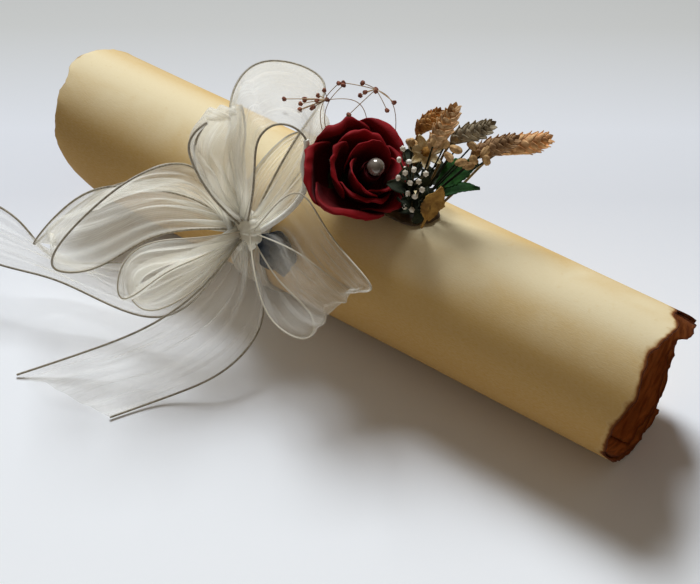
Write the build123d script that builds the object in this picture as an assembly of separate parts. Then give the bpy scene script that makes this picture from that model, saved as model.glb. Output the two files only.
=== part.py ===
from build123d import *
import os
from math import acos, atan2, ceil, cos, degrees, hypot, pi, radians, sin, sqrt, tan

# A4 parchment rolled into a scroll, tied with a sheer ribbon band and bow, with a small dried
# corsage glued on top. Millimetres. X runs along the roll towards its open near end, Z is up,
# and the origin is the centre of the flat spot on which the roll lies.

# Paper
SHEET_LENGTH = 212.0
ROLL_RADIUS = 24.4
PAPER = 0.4
TURN_GAP = 0.7
TURNS = 2.12
TEAR_ROOM = 4.0
FLAT_WIDTH = 8.0
FREE_EDGE_ANGLE = -62.0
ARC_SPAN = 60.0

# Torn and singed ends: how far the paper reaches past its nominal length at even steps of
# height, from the floor up, on the side towards the bow (front) and on the other side (back)
NEAR_FRONT_TEAR = (-2.5, -3.6, -3.0, -1.8, -1.4, 0.8, 0.5, 1.8, 1.6)
NEAR_BACK_TEAR = (-2.5, 0.2, 0.8, -1.2, -2.4, -0.6, 3.0, 2.4, 1.6)
FAR_FRONT_TEAR = (-1.0, 0.2, -0.6, 0.0, 0.5, -0.2, 0.4, -0.4, 2.2)
FAR_BACK_TEAR = (-1.0, 0.8, -0.2, -1.0, 0.4, 0.0, 1.6, 3.4, 2.2)

# Ribbon
CLEAR = 0.08
SEAT = 0.1
BAND_WIDTH = 14.0
BAND_THICKNESS = 0.3
BAND_SIDE_ROOM = 0.32
BAND_X = -22.5
BAND_CREST = 20.0
BAND_BRIDGE = 50.0
RIBBON = 0.5
RIBBON_STEPS = 28
KNOT_ANGLE = 154.0
KNOT_HALF_HEIGHT = 3.6
KNOT_HALF_WIDTH = 6.5
KNOT_PLEATS = 12
KNOT_PLEAT = 0.12
KNOT_OVERLAP = 0.3
KNOT_LEVELS = (-40.0, -15.0, 15.0, 45.0, 70.0)
NECK_RADIUS = 3.2
NECK_HEIGHT = 1.5
ROOT_GAP = 0.5
TIE_THICKNESS = 0.5
TIE_WIDTH = 0.9

# Two wired edges of each ribbon, in points relative to the heart of the knot (along X, Y, Z).
# A loop leaves the knot, turns and comes back; a tail ends at its cut end.
LOOPS = {
    "ribbon_loop_up": (
        (
            (2, 0, 5), (4, 0, 22), (3, 4, 32), (5, 9, 37), (8, 13, 38), (12, 13, 33), (11, 10, 22),
            (4, 1, 5),
        ),
        (
            (-2, 2, 6), (-5, 6, 17), (-15, 15, 24), (-23, 29, 28), (-22, 40, 29), (-4, 47, 26),
            (3, 28, 23), (2, 4, 5),
        ),
    ),
    "ribbon_loop_left": (
        (
            (0, -2, 4), (-5, -8, 18), (-9, -10, 30), (-10, -8, 38), (-9, -3, 40), (-10, 2, 37),
            (-9, 3, 28), (1, -1, 5),
        ),
        (
            (-4, 0, 5), (-9, 2, 11), (-15, 5, 17), (-17, 9, 22), (-18, 13, 24), (-16, 14, 22),
            (-12, 9, 18), (-4, 2, 5),
        ),
    ),
    "ribbon_loop_side": (
        (
            (-1, -3, 3), (-18, 0, 16), (-22, -15, 24), (-27, -34, 21), (-34, -47, 2), (-30, -39, -3),
            (-20, -22, 2), (-1, -3, 2),
        ),
        (
            (-4, -2, 3), (-16, -3, 6), (-30, -9, 8), (-48, -22, 4), (-59, -33, -13), (-48, -30, -17),
            (-27, -19, -9), (-4, -4, -1),
        ),
    ),
    "ribbon_loop_low": (
        (
            (1, -3, 2), (-4, -20, 10), (-12, -33, 12), (-14, -39, 8), (-13, -42, -2), (-8, -30, 0),
            (-3, -18, 1), (1, -4, 1),
        ),
        (
            (-1, -4, 1), (-10, -17, -4), (-20, -22, -9), (-25, -28, -16), (-20, -29, -22),
            (-10, -22, -19), (-3, -13, -10), (0, -4, -1),
        ),
    ),
    "ribbon_loop_right": (
        ((5, -1, 3), (19, 5, 21), (34, 0, 15), (50, -4, 7), (42, -3, 2), (24, -2, 4), (6, -1, 2)),
        (
            (4, -2, 2), (18, -16, -3), (27, -20, -8), (38, -19, -8), (35, -12, -9), (22, -8, -6),
            (6, -2, -1),
        ),
    ),
}
TAILS = {
    "ribbon_tail_out": (
        (
            (-3, -4, -3), (-21, -13, -15), (-44, -21, -23), (-59, -27, -24), (-70, -28, -14),
            (-91, -33, -7),
        ),
        (
            (0, -5, -4), (-15, -26, -26), (-35, -32, -25), (-49, -36, -21), (-68, -42, -20),
            (-90, -46, -17),
        ),
    ),
}
# The long tail comes down to the floor: along X, along Y, and height as a share of the knot's
LONG_TAIL = (
    ((2, -4, 1.0), (1, -23, 0.83), (-10, -36, 0.5), (-23, -46, 0.26), (-42, -64, 0.01)),
    ((4, -4, 0.95), (16, -13, 0.48), (15, -29, 0.26), (4, -43, 0.07), (-7, -60, 0.01)),
)

# Glue pad on top of the roll, under the corsage
PAD_X = 12.0
PAD_LENGTH = 44.0
PAD_WIDTH = 20.0
PAD_RISE = 2.6
PAD_CHAMFER = 1.3

# Rose: place and lean of its flower, and the rings of petals as number, start angle and span,
# then rows of height, radius and share of the span
ROSE_FOOT = (1.5, -4.0)
ROSE_LEAN_X = 29.0
ROSE_LEAN_Y = 8.0
PETAL = 0.5
PETAL_STEP = 1.0
HIP_RADIUS = 8.2
HIP_HEIGHT = 3.4
CORE_RADIUS = 3.8
CORE_HEIGHT = 11.0
CORE_MOUTH = 0.8
CORE_PLEAT = 0.1
PEARL = 6.0
PEARL_DISH = 1.5
PEARL_RINGS = 9
PETAL_ROWS = 6
PETAL_COLUMNS = 8
PETAL_DIP = 1.2
ROSE_STEM_HEIGHT = 4.6
ROSE_STEM = 3.2
PETAL_COUNTS = {"outer": 5, "middle": 4, "inner": 3}
PETAL_ANGLES = {"outer": (10.0, 100.0), "middle": (40.0, 122.0), "inner": (15.0, 160.0)}
PETAL_RINGS = {
    "outer": ((0.0, 7.0, 0.55), (3.0, 12.2, 0.95), (7.0, 14.6, 1.0), (10.5, 15.2, 0.8), (12.0, 16.2, 0.4)),
    "middle": ((0.0, 5.0, 0.6), (3.0, 9.0, 0.95), (7.0, 10.8, 1.0), (11.5, 11.2, 0.8), (13.2, 12.0, 0.4)),
    "inner": ((0.0, 3.0, 0.6), (3.0, 5.8, 0.95), (7.0, 7.0, 1.0), (11.5, 7.3, 0.8), (13.4, 7.7, 0.45)),
}

# Dried sprigs: every foot is a place on the pad, and other points are relative to the top of
# the roll over the origin (along X, along Y, Z)
STEM = 0.9
STEM_SINK = 1.5
STEM_HOLE = 4.5
STEM_OVERLAP = 0.3
EAR_WIDTH = 4.4
EAR_SIDES = 10
EARS = (
    ((27, 2), (40, 19, 20), (52, 25, 28)),
    ((25, 5), (34, 14, 19), (44, 18, 27)),
    ((21, 6), (28, 12, 23), (38, 14, 32)),
    ((22, 2), (24, 7, 22), (29, 9, 37)),
    ((17, 7), (14, 15, 17), (19, 17, 25)),
)
BUD_LENGTH = 3.0
BUD_WIDTH = 2.6
BUD_SIDES = 8
BUD_SPRIG = ((6, 8), ((5, 16, 12), (4, 14, 26), (3, 8, 33)), ((4, 1, 37), (-5, 3, 35), (9, 5, 30)))
FILLER_WIDTH = 4.0
FILLER_SPRIG = ((20, 1), ((21, 0, 7), (21.5, 0, 11)), ((19, 0, 16), (24, 2, 15), (24, -3, 10)))
# The loop sprig's fork and tips are relative to the knot's heart, so that they clear the bow
LOOP_SPRIG = ((-2, 6), ((-4, 14, 11), (-5, 11, 22)))
LOOP_FORK = (14.5, 24.5, 41.3)
LOOP_TIPS = ((14.5, 19.5, 44.3), (8.5, 19.5, 40.3), (2.5, 19.5, 39.3))
LEAF = 0.4
LEAF_STEPS = 8
LEAF_SHARES = (0.06, 0.36, 0.5, 0.34, 0.03)
LEAVES = {
    "leaf_green_upper": ((26, 3), (30, 6, 8), (35, 8, 13), (41, 12, 16), 8.0, 20.0),
    "leaf_green_lower": ((28, 0), (33, 4, 5), (38, 6, 9), (44, 8, 9), 7.0, -15.0),
    "leaf_dried_brown": ((28, -4), (30, -5, 6), (31, -4, 11), (32, -1, 17), 7.5, 80.0),
}
STAR_WIDTH = 11.0
STAR_TIP = ((21, 8), (20, 11, 9), (21, 8, 18))
STAR_POINTS = 6
STAR_WAIST = 0.32
STAR_EYE = 1.5
STAR_FACING = (0.39, -0.56, 0.73)
BLOOM_WIDTH = 15.0
BLOOM_PLACE = (-9.0, 166.0)
BLOOM_PETALS = 5
BLOOM_PETAL = 0.7
BLOOM_RISE = 1.0
BLOOM_WAVE = 0.22
BLOOM_STEPS = 6
BLOOM_EYE = 2.2
BLOOM_EYE_HEIGHT = 1.2

PITCH = PAPER + TURN_GAP
FREE_TO_FLOOR = FREE_EDGE_ANGLE + 90.0


def wound_radius(swept):
    """Outer face of the paper after this many degrees of winding from the free edge inwards."""
    return ROLL_RADIUS - PITCH * swept / 360.0


FLOOR_RADIUS = wound_radius(FREE_TO_FLOOR)
AXIS_Z = sqrt(FLOOR_RADIUS**2 - (FLAT_WIDTH / 2.0) ** 2)


def polar(radius, angle):
    """Point of the roll's cross-section, as (y, z)."""
    return (radius * cos(radians(angle)), AXIS_Z + radius * sin(radians(angle)))


def flattened_path(radius_at, start, end, level_at, span=ARC_SPAN):
    """Edges along a winding line from one swept angle to another, flattened at each pass of the floor."""
    passes = []
    floor_pass = FREE_TO_FLOOR
    while floor_pass < end:
        if floor_pass > start:
            passes.append(floor_pass)
        floor_pass += 360.0
    edges = []
    at = start
    joint = polar(radius_at(start), FREE_EDGE_ANGLE - start)
    for mid in passes + [None]:
        if mid is None:
            stop, corner = end, polar(radius_at(end), FREE_EDGE_ANGLE - end)
        else:
            level = level_at(mid)
            half = degrees(acos((AXIS_Z - level) / radius_at(mid)))
            run = (AXIS_Z - level) * tan(radians(half))
            stop, corner = mid - half, (run, level)
        count = 2 * max(1, ceil((stop - at) / span))
        points = [joint]
        for i in range(1, count):
            swept = at + (stop - at) * i / count
            points.append(polar(radius_at(swept), FREE_EDGE_ANGLE - swept))
        points.append(corner)
        for i in range(0, count, 2):
            edges.append(Edge.make_three_point_arc(*[Vector(0, *point) for point in points[i : i + 3]]))
        if mid is not None:
            joint = (-run, level)
            edges.append(Edge.make_line(Vector(0, *corner), Vector(0, *joint)))
            at = mid + half
    return edges


def closed_face(outer, inner):
    """Face between two open chains of edges that run side by side."""
    ends = [Edge.make_line(outer[0] @ 0, inner[0] @ 0), Edge.make_line(outer[-1] @ 1, inner[-1] @ 1)]
    return Face(Wire(outer + inner + ends))


def roll_section():
    """Cross-section of the wound sheet, with its flat spot on the floor."""
    end = 360.0 * TURNS

    def level(depth):
        return lambda swept: PITCH * (swept - FREE_TO_FLOOR) / 360.0 + depth

    outer = flattened_path(wound_radius, 0.0, end, level(0.0))
    inner = flattened_path(lambda swept: wound_radius(swept) - PAPER, 0.0, end, level(PAPER))
    return closed_face(outer, inner)


def torn_cutter(tear, end, side):
    """Solid beyond the torn line of one end (+1 near, -1 far) on one side (-1 front, +1 back)."""
    height = 2.0 * ROLL_RADIUS
    beyond = SHEET_LENGTH / 2.0 + 2.0 * TEAR_ROOM
    steps = len(tear) - 1
    points = [Vector(end * (SHEET_LENGTH / 2.0 + tear[i]), 0, height * i / steps) for i in range(steps + 1)]
    top = Vector(points[-1].X, 0, height + 1.0)
    bottom = Vector(points[0].X, 0, -1.0)
    line = [
        Edge.make_line(bottom, points[0]),
        Edge.make_spline(points),
        Edge.make_line(points[-1], top),
        Edge.make_line(top, Vector(end * beyond, 0, height + 1.0)),
        Edge.make_line(Vector(end * beyond, 0, height + 1.0), Vector(end * beyond, 0, -1.0)),
        Edge.make_line(Vector(end * beyond, 0, -1.0), bottom),
    ]
    return extrude(Face(Wire(line)), amount=2.0 * ROLL_RADIUS, dir=(0, side, 0))


def paper_roll():
    """The sheet's turns as one solid, its outer turn pressed in where the band passes under it."""
    reach = SHEET_LENGTH / 2.0 + TEAR_ROOM
    sheet = extrude(roll_section().moved(Location((-reach, 0, 0))), amount=2.0 * reach, dir=(1, 0, 0))
    for tear, end, side in (
        (NEAR_FRONT_TEAR, 1, -1),
        (NEAR_BACK_TEAR, 1, 1),
        (FAR_FRONT_TEAR, -1, -1),
        (FAR_BACK_TEAR, -1, 1),
    ):
        sheet -= torn_cutter(tear, end, side)
    pressed = BAND_THICKNESS + CLEAR
    half = sqrt(FLOOR_RADIUS**2 - (AXIS_Z - pressed) ** 2)
    bed = BAND_WIDTH + 2.0 * BAND_SIDE_ROOM
    sheet -= Pos(BAND_X, 0, 0) * Box(bed, 2.0 * half + 1.0, 2.0 * pressed)
    sheet += Pos(BAND_X, 0, pressed + PAPER / 2.0) * Box(bed, 2.0 * half, PAPER)
    return sheet


def outline_swept(angle):
    """Swept angle of the outermost turn at a polar angle of the cross-section."""
    return (FREE_EDGE_ANGLE - angle) % 360.0


def wrap_radius(swept):
    """Radius of the paper's outline under a taut wrap, bridging the step at the free edge."""
    if swept < BAND_CREST or swept > 360.0 - BAND_CREST:
        return ROLL_RADIUS
    foot = 360.0 - BAND_CREST - BAND_BRIDGE
    if swept <= foot:
        return wound_radius(swept)
    share = (swept - foot) / BAND_BRIDGE
    return wound_radius(foot) * (1.0 - share) + ROLL_RADIUS * share


def closed_band(depth, level):
    """Wire of one face of the band: round the roll at this depth over the paper."""
    edges = flattened_path(
        lambda swept: wrap_radius(swept % 360.0) + depth,
        FREE_TO_FLOOR - 180.0,
        FREE_TO_FLOOR + 180.0,
        lambda swept: level,
        ARC_SPAN / 3.0,
    )
    return Wire(edges)


def ribbon_band():
    """Gathered ribbon round the roll, pressed flat under it."""
    outer = closed_band(CLEAR + BAND_THICKNESS, 0.0)
    inner = closed_band(CLEAR, BAND_THICKNESS)
    section = Face(outer, [inner]).moved(Location((BAND_X - BAND_WIDTH / 2.0, 0, 0)))
    return extrude(section, amount=BAND_WIDTH, dir=(1, 0, 0))


KNOT_OUT = Vector(0, cos(radians(KNOT_ANGLE)), sin(radians(KNOT_ANGLE)))
BAND_TOP = wrap_radius(outline_swept(KNOT_ANGLE)) + CLEAR + BAND_THICKNESS
KNOT_BASE = Vector(BAND_X, 0, AXIS_Z) + KNOT_OUT * (BAND_TOP + SEAT)
KNOT_HEART = KNOT_BASE + KNOT_OUT * (NECK_HEIGHT + KNOT_HALF_HEIGHT * (1.0 - KNOT_OVERLAP))


def ribbon_knot():
    """Pleated heart of the bow on a short gathered neck that stands on the band."""
    waist = (KNOT_HEART - KNOT_BASE).length
    shape = [(NECK_RADIUS, 0), (NECK_RADIUS, NECK_HEIGHT)]
    for angle in KNOT_LEVELS:
        height = waist + KNOT_HALF_HEIGHT * sin(radians(angle))
        shape.append((KNOT_HALF_WIDTH * cos(radians(angle)), height))
    shape.append((0, waist + KNOT_HALF_HEIGHT))
    return turned(KNOT_BASE, KNOT_HEART, shape, 2 * KNOT_PLEATS, KNOT_PLEAT)


def knot_tie():
    """Narrow binding round the neck of the bow."""
    inside = NECK_RADIUS + SEAT
    ring = Cylinder(inside + TIE_THICKNESS, TIE_WIDTH) - Cylinder(inside, TIE_WIDTH)
    return Plane(KNOT_BASE + KNOT_OUT * (TIE_WIDTH / 2.0 + SEAT), x_dir=(1, 0, 0), z_dir=KNOT_OUT) * ring


def on_knot(offset):
    """Place just clear of the knot's skin in the direction of this offset from its heart."""
    offset = Vector(*offset)
    out = offset.dot(KNOT_OUT)
    flat = (offset - KNOT_OUT * out).length
    skin = 1.0 / hypot(out / KNOT_HALF_HEIGHT, flat / KNOT_HALF_WIDTH)
    return KNOT_HEART + offset * skin + offset.normalized() * (RIBBON / 2.0 + ROOT_GAP)


def flat_sided(polygons):
    """Solid closed by flat faces, each given by its corners."""
    return Solid(Shell([Face(Wire.make_polygon(points, close=True)) for points in polygons]))


def sheet_solid(grid, thickness):
    """Thin solid of flat facets on both sides of a grid of points, rows of equal length."""
    rows, columns = len(grid), len(grid[0])
    skins = {1: [], -1: []}
    for i in range(rows):
        for side in skins:
            skins[side].append([])
        for j in range(columns):
            along = grid[min(i + 1, rows - 1)][j] - grid[max(i - 1, 0)][j]
            across = grid[i][min(j + 1, columns - 1)] - grid[i][max(j - 1, 0)]
            normal = along.cross(across).normalized()
            for side in skins:
                skins[side][i].append(grid[i][j] + normal * (side * thickness / 2.0))
    facets = []
    for skin in skins.values():
        for i in range(rows - 1):
            for j in range(columns - 1):
                facets.append((skin[i][j], skin[i + 1][j], skin[i + 1][j + 1]))
                facets.append((skin[i][j], skin[i + 1][j + 1], skin[i][j + 1]))
    rim = [(i, 0) for i in range(rows)]
    rim += [(rows - 1, j) for j in range(1, columns)]
    rim += [(i, columns - 1) for i in range(rows - 2, -1, -1)]
    rim += [(0, j) for j in range(columns - 2, 0, -1)]
    for (i, j), (k, m) in zip(rim, rim[1:] + rim[:1]):
        facets.append((skins[1][i][j], skins[1][k][m], skins[-1][k][m]))
        facets.append((skins[1][i][j], skins[-1][k][m], skins[-1][i][j]))
    return flat_sided(facets)


def strip_solid(near, far, thickness, steps):
    """Thin strip between two edge lines through matching points, faceted in even steps."""
    lines = [Edge.make_spline(near), Edge.make_spline(far)]
    grid = []
    for i in range(steps + 1):
        ends = [line.position_at(i / steps, PositionMode.PARAMETER) for line in lines]
        grid.append([ends[0], (ends[0] + ends[1]) * 0.5, ends[1]])
    return sheet_solid(grid, thickness)


def turned(start, ahead, profile, sides, pleat=0.0):
    """Many-sided turned solid from (radius, height) pairs, from a start towards a point."""
    place = Plane(start, z_dir=(ahead - start).normalized())
    rings = []
    for radius, height in profile:
        ring = []
        for i in range(sides if radius > 0 else 1):
            angle = 2.0 * pi * i / sides
            reach = radius * (1.0 - pleat * (i % 2))
            ring.append(place.from_local_coords(Vector(reach * cos(angle), reach * sin(angle), height)))
        rings.append(ring)
    facets = []
    for low, high in zip(rings, rings[1:]):
        for i in range(sides):
            k = (i + 1) % sides
            if len(low) == 1:
                facets.append((low[0], high[i], high[k]))
            elif len(high) == 1:
                facets.append((low[i], high[0], low[k]))
            else:
                facets.append((low[i], low[k], high[k]))
                facets.append((low[i], high[k], high[i]))
    for ring in (rings[0], rings[-1]):
        if len(ring) > 1:
            facets.append(tuple(ring))
    return flat_sided(facets)


def rod(start, end, radius):
    """Thin six-sided stem between two points."""
    return turned(start, end, ((radius, 0), (radius, (end - start).length)), 6)


def ribbon_loop(edges):
    """Strip that leaves the knot, turns and comes back to it."""
    lines = []
    for line in edges:
        middle = [KNOT_HEART + Vector(*point) for point in line[1:-1]]
        lines.append([on_knot(line[0])] + middle + [on_knot(line[-1])])
    return strip_solid(lines[0], lines[1], RIBBON, RIBBON_STEPS)


def ribbon_tail(edges):
    """Strip that leaves the knot and ends at its cut end."""
    lines = []
    for line in edges:
        lines.append([on_knot(line[0])] + [KNOT_HEART + Vector(*point) for point in line[1:]])
    return strip_solid(lines[0], lines[1], RIBBON, RIBBON_STEPS)


def long_tail():
    """Tail that hangs from the knot and lies down on the floor."""
    edges = []
    for line in LONG_TAIL:
        rise = KNOT_HEART.Z - RIBBON / 2.0
        edges.append([(x, y, (share - 1.0) * rise) for x, y, share in line])
    return ribbon_tail(edges)


ROLL_TOP = wound_radius(outline_swept(90.0)) + AXIS_Z
PAD_TOP = ROLL_TOP + PAD_RISE


def glue_pad():
    """Clear glue pad on the roll, with a hole for the foot of every stem."""
    outline = Pos(PAD_X, 0, ROLL_TOP - ROLL_RADIUS) * SlotOverall(PAD_LENGTH, PAD_WIDTH)
    pad = extrude(outline, amount=ROLL_RADIUS + PAD_RISE)
    pad = chamfer(pad.faces().sort_by(Axis.Z)[-1].edges(), PAD_CHAMFER)
    under = wound_radius(outline_swept(130.0)) + CLEAR
    pad -= Pos(PAD_X, 0, AXIS_Z) * Rot(0, 90, 0) * Cylinder(under, 2.0 * PAD_LENGTH)
    pad -= turned(ROSE_BASE, ROSE_BASE + ROSE_AXIS, hip_shape(SEAT), 2 * EAR_SIDES)
    for foot, ahead, width in stem_feet():
        direction = (ahead - foot).normalized()
        pad -= rod(foot - direction * SEAT, foot + direction * STEM_HOLE, width / 2.0 + SEAT)
    return pad


def over_roll(point):
    """Point given over the top of the roll."""
    return Vector(point[0], point[1], ROLL_TOP + point[2])


def on_pad(place):
    """Foot of a stem, a little under the skin of the glue pad."""
    return Vector(place[0], place[1], PAD_TOP - STEM_SINK)


def ear(foot, neck, tip):
    """Dried grass ear: a spindle on a thin stem."""
    start, joint, end = on_pad(foot), over_roll(neck), over_roll(tip)
    length = (end - joint).length
    wide = EAR_WIDTH / 2.0
    shape = ((0, 0), (STEM / 2.0, 0), (wide, 0.3 * length), (0.8 * wide, 0.6 * length), (0, length))
    root = joint - (end - joint).normalized() * STEM_OVERLAP
    return rod(start, joint, STEM / 2.0) + turned(root, end, shape, EAR_SIDES)


def bud(start, ahead, width, length):
    """Small closed bud from a point towards another."""
    wide = width / 2.0
    shape = ((0, 0), (0.6 * wide, 0), (wide, 0.45 * length), (0.6 * wide, 0.85 * length), (0, length))
    return turned(start, ahead, shape, BUD_SIDES)


def at_heart(point):
    """Point given from the knot's heart."""
    return KNOT_HEART + Vector(*point)


def stem_route(foot, route):
    """Foot of a sprig and the points that its stem passes over the roll."""
    return [on_pad(foot)] + [over_roll(point) for point in route]


def sprig(points, tips, width, length):
    """Stem through its points that forks at the last, with a bud on every tip."""
    twig = rod(points[0], points[1], STEM / 2.0)
    for start, end in zip(points[1:], points[2:]):
        twig += rod(start - (end - start).normalized() * STEM_OVERLAP, end, STEM / 2.0)
    fork = points[-1]
    for end in tips:
        back = (end - fork).normalized() * STEM_OVERLAP
        twig += rod(fork - back, end, STEM / 2.0)
        twig += bud(end - back, end + back, width, length)
    return twig


def leaf(foot, base, belly, tip, width, lean):
    """Pointed leaf on a short stalk, its blade leaning about its own length."""
    root, base, belly, tip = on_pad(foot), over_roll(base), over_roll(belly), over_roll(tip)
    along = (tip - base).normalized()
    flat = Vector(0, 0, 1).cross(along).normalized().rotate(Axis((0, 0, 0), along), lean)
    spine = [base, base + (belly - base) * 0.5, belly, belly + (tip - belly) * 0.5, tip]
    near = [point - flat * width * share for point, share in zip(spine, LEAF_SHARES)]
    far = [point + flat * width * share for point, share in zip(spine, LEAF_SHARES)]
    return strip_solid(near, far, LEAF, LEAF_STEPS) + rod(root, base + along * STEM_OVERLAP, STEM / 2.0)


def star_flower():
    """Small dried flower with pointed petals on a thin stem."""
    foot, bend, top = on_pad(STAR_TIP[0]), over_roll(STAR_TIP[1]), over_roll(STAR_TIP[2])
    points = []
    for i in range(2 * STAR_POINTS):
        reach = STAR_WIDTH / 2.0 * (1.0 if i % 2 == 0 else STAR_WAIST)
        angle = pi * i / STAR_POINTS
        points.append((reach * cos(angle), reach * sin(angle)))
    outline = Polyline(*points, close=True)
    blades = extrude(Face(Wire(outline.edges())), amount=LEAF)
    facing = Vector(*STAR_FACING)
    eye = turned(top, top + facing, ((STAR_EYE, 0), (STAR_EYE * 0.6, STAR_EYE)), EAR_SIDES)
    back = (top - bend).normalized() * STEM_OVERLAP
    stem = rod(foot, bend, STEM / 2.0) + rod(bend - back, top, STEM / 2.0)
    return Plane(top, z_dir=facing) * blades + eye + stem


def slate_bloom():
    """Small grey-blue bloom tucked beside the knot, face out from the roll."""
    x, angle = BLOOM_PLACE
    out = Vector(0, cos(radians(angle)), sin(radians(angle)))
    seat = Vector(x, 0, AXIS_Z) + out * (wrap_radius(outline_swept(angle)) + SEAT)
    points = []
    for i in range(BLOOM_STEPS * BLOOM_PETALS):
        turn = 2.0 * pi * i / (BLOOM_STEPS * BLOOM_PETALS)
        reach = BLOOM_WIDTH / 2.0 * (1.0 - BLOOM_WAVE + BLOOM_WAVE * cos(BLOOM_PETALS * turn))
        points.append((reach * cos(turn), reach * sin(turn)))
    blades = extrude(Face(Wire(Polyline(*points, close=True).edges())), amount=BLOOM_PETAL)
    place = Plane(seat + out * BLOOM_RISE, x_dir=(1, 0, 0), z_dir=out)
    face = BLOOM_RISE + BLOOM_PETAL
    shape = ((BLOOM_EYE * 0.8, 0), (BLOOM_EYE, face), (BLOOM_EYE * 0.6, face + BLOOM_EYE_HEIGHT))
    return place * blades + turned(seat, seat + out, shape, EAR_SIDES)


ROSE_AXIS = Vector(0, 0, 1).rotate(Axis.Y, ROSE_LEAN_X).rotate(Axis.X, ROSE_LEAN_Y)
ROSE_BASE = Vector(ROSE_FOOT[0], ROSE_FOOT[1], PAD_TOP + ROSE_STEM_HEIGHT)
ROSE_PLACE = Plane(ROSE_BASE, x_dir=Vector(0, 1, 0).cross(ROSE_AXIS), z_dir=ROSE_AXIS)
ROSE_STEM_TOP = ROSE_BASE - ROSE_AXIS * HIP_HEIGHT * 0.9


def hip_shape(room=0.0):
    """Outline of the rose's cup, or of its socket with this much room."""
    return (
        (HIP_RADIUS * 0.4 + room, -HIP_HEIGHT - room),
        (HIP_RADIUS * 0.9 + room, -0.3 * HIP_HEIGHT),
        (HIP_RADIUS + room, -0.6 * PETAL),
    )


def rose_hip():
    """Green cup that carries the petals, with its cut stem."""
    cup = turned(ROSE_BASE, ROSE_BASE + ROSE_AXIS, hip_shape(), 2 * EAR_SIDES)
    return cup + rod(on_pad(ROSE_FOOT), ROSE_STEM_TOP, ROSE_STEM / 2.0)


def rose_petal(rows, span, turn):
    """Cupped petal from (height, radius, share of the span), one side tucked under its neighbour."""
    grid = []
    for i in range(PETAL_ROWS + 1):
        height = rows[0][0] + (rows[-1][0] - rows[0][0]) * i / PETAL_ROWS
        radius, share = [value_at(rows, height, k) for k in (1, 2)]
        row = []
        for j in range(PETAL_COLUMNS + 1):
            side = 2.0 * j / PETAL_COLUMNS - 1.0
            angle = radians(turn + side * share * span / 2.0)
            reach = radius + PETAL_STEP * side * share
            dip = PETAL_DIP * height / rows[-1][0] * side**2
            point = Vector(reach * cos(angle), reach * sin(angle), height - dip)
            row.append(ROSE_PLACE.from_local_coords(point))
        grid.append(row)
    return sheet_solid(grid, PETAL)


def value_at(rows, height, column):
    """Value of a column at this height, straight between the given rows."""
    for low, high in zip(rows, rows[1:]):
        if height <= high[0] + 1e-9:
            share = (height - low[0]) / (high[0] - low[0])
            return low[column] + (high[column] - low[column]) * share
    return rows[-1][column]


def rose_core():
    """Tight bud of the innermost petals, dished for the pearl."""
    wide, high = CORE_RADIUS, CORE_HEIGHT
    shape = ((wide * 0.45, 0), (wide, high * 0.6), (wide * CORE_MOUTH, high), (0, high - PEARL_DISH))
    return turned(ROSE_BASE, ROSE_BASE + ROSE_AXIS, shape, 2 * EAR_SIDES, CORE_PLEAT)


def pearl():
    """Grey bead set in the heart of the rose."""
    slope = atan2(PEARL_DISH, CORE_RADIUS * CORE_MOUTH * (1.0 - CORE_PLEAT))
    lift = CORE_HEIGHT - PEARL_DISH + PEARL / 2.0 / cos(slope) + SEAT - PEARL / 2.0
    shape = [(0, 0)]
    for i in range(1, PEARL_RINGS):
        angle = pi * i / PEARL_RINGS
        shape.append((PEARL / 2.0 * sin(angle), PEARL / 2.0 * (1.0 - cos(angle))))
    shape.append((0, PEARL))
    return turned(ROSE_BASE + ROSE_AXIS * lift, ROSE_BASE + ROSE_AXIS * (lift + 1.0), shape, 2 * EAR_SIDES)


def stem_feet():
    """Foot, next point and width of every stem that stands in the glue pad."""
    feet = [(on_pad(ROSE_FOOT), ROSE_STEM_TOP, ROSE_STEM)]
    feet += [(on_pad(foot), over_roll(neck), STEM) for foot, neck, tip in EARS]
    for foot, route, *tips in (LOOP_SPRIG, BUD_SPRIG, FILLER_SPRIG):
        feet.append((on_pad(foot), over_roll(route[0]), STEM))
    for foot, base, belly, tip, width, lean in LEAVES.values():
        feet.append((on_pad(foot), over_roll(base), STEM))
    feet.append((on_pad(STAR_TIP[0]), over_roll(STAR_TIP[1]), STEM))
    return feet


def build():
    """Every node of the scroll, by name."""
    nodes = {
        "paper_roll": paper_roll(),
        "ribbon_band": ribbon_band(),
        "ribbon_knot": ribbon_knot(),
        "knot_tie": knot_tie(),
    }
    for name, edges in LOOPS.items():
        nodes[name] = ribbon_loop(edges)
    for name, edges in TAILS.items():
        nodes[name] = ribbon_tail(edges)
    nodes["ribbon_tail_long"] = long_tail()
    nodes["glue_pad"] = glue_pad()
    nodes["rose_hip"] = rose_hip()
    nodes["rose_core"] = rose_core()
    nodes["rose_pearl"] = pearl()
    for ring, rows in PETAL_RINGS.items():
        count, (start, span) = PETAL_COUNTS[ring], PETAL_ANGLES[ring]
        for i in range(count):
            nodes[f"rose_petal_{ring}_{i + 1}"] = rose_petal(rows, span, start + 360.0 * i / count)
    for i, points in enumerate(EARS):
        nodes[f"grass_ear_{i + 1}"] = ear(*points)
    tips = [at_heart(point) for point in LOOP_TIPS]
    nodes["bud_sprig_1"] = sprig(stem_route(*LOOP_SPRIG) + [at_heart(LOOP_FORK)], tips, BUD_WIDTH, BUD_LENGTH)
    foot, route, tips = BUD_SPRIG
    tips = [over_roll(point) for point in tips]
    nodes["bud_sprig_2"] = sprig(stem_route(foot, route), tips, BUD_WIDTH, BUD_LENGTH)
    foot, route, tips = FILLER_SPRIG
    tips = [over_roll(point) for point in tips]
    nodes["filler_sprig"] = sprig(stem_route(foot, route), tips, FILLER_WIDTH, FILLER_WIDTH * 0.8)
    for name, sizes in LEAVES.items():
        nodes[name] = leaf(*sizes)
    nodes["star_flower"] = star_flower()
    nodes["slate_bloom"] = slate_bloom()
    return nodes


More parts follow.
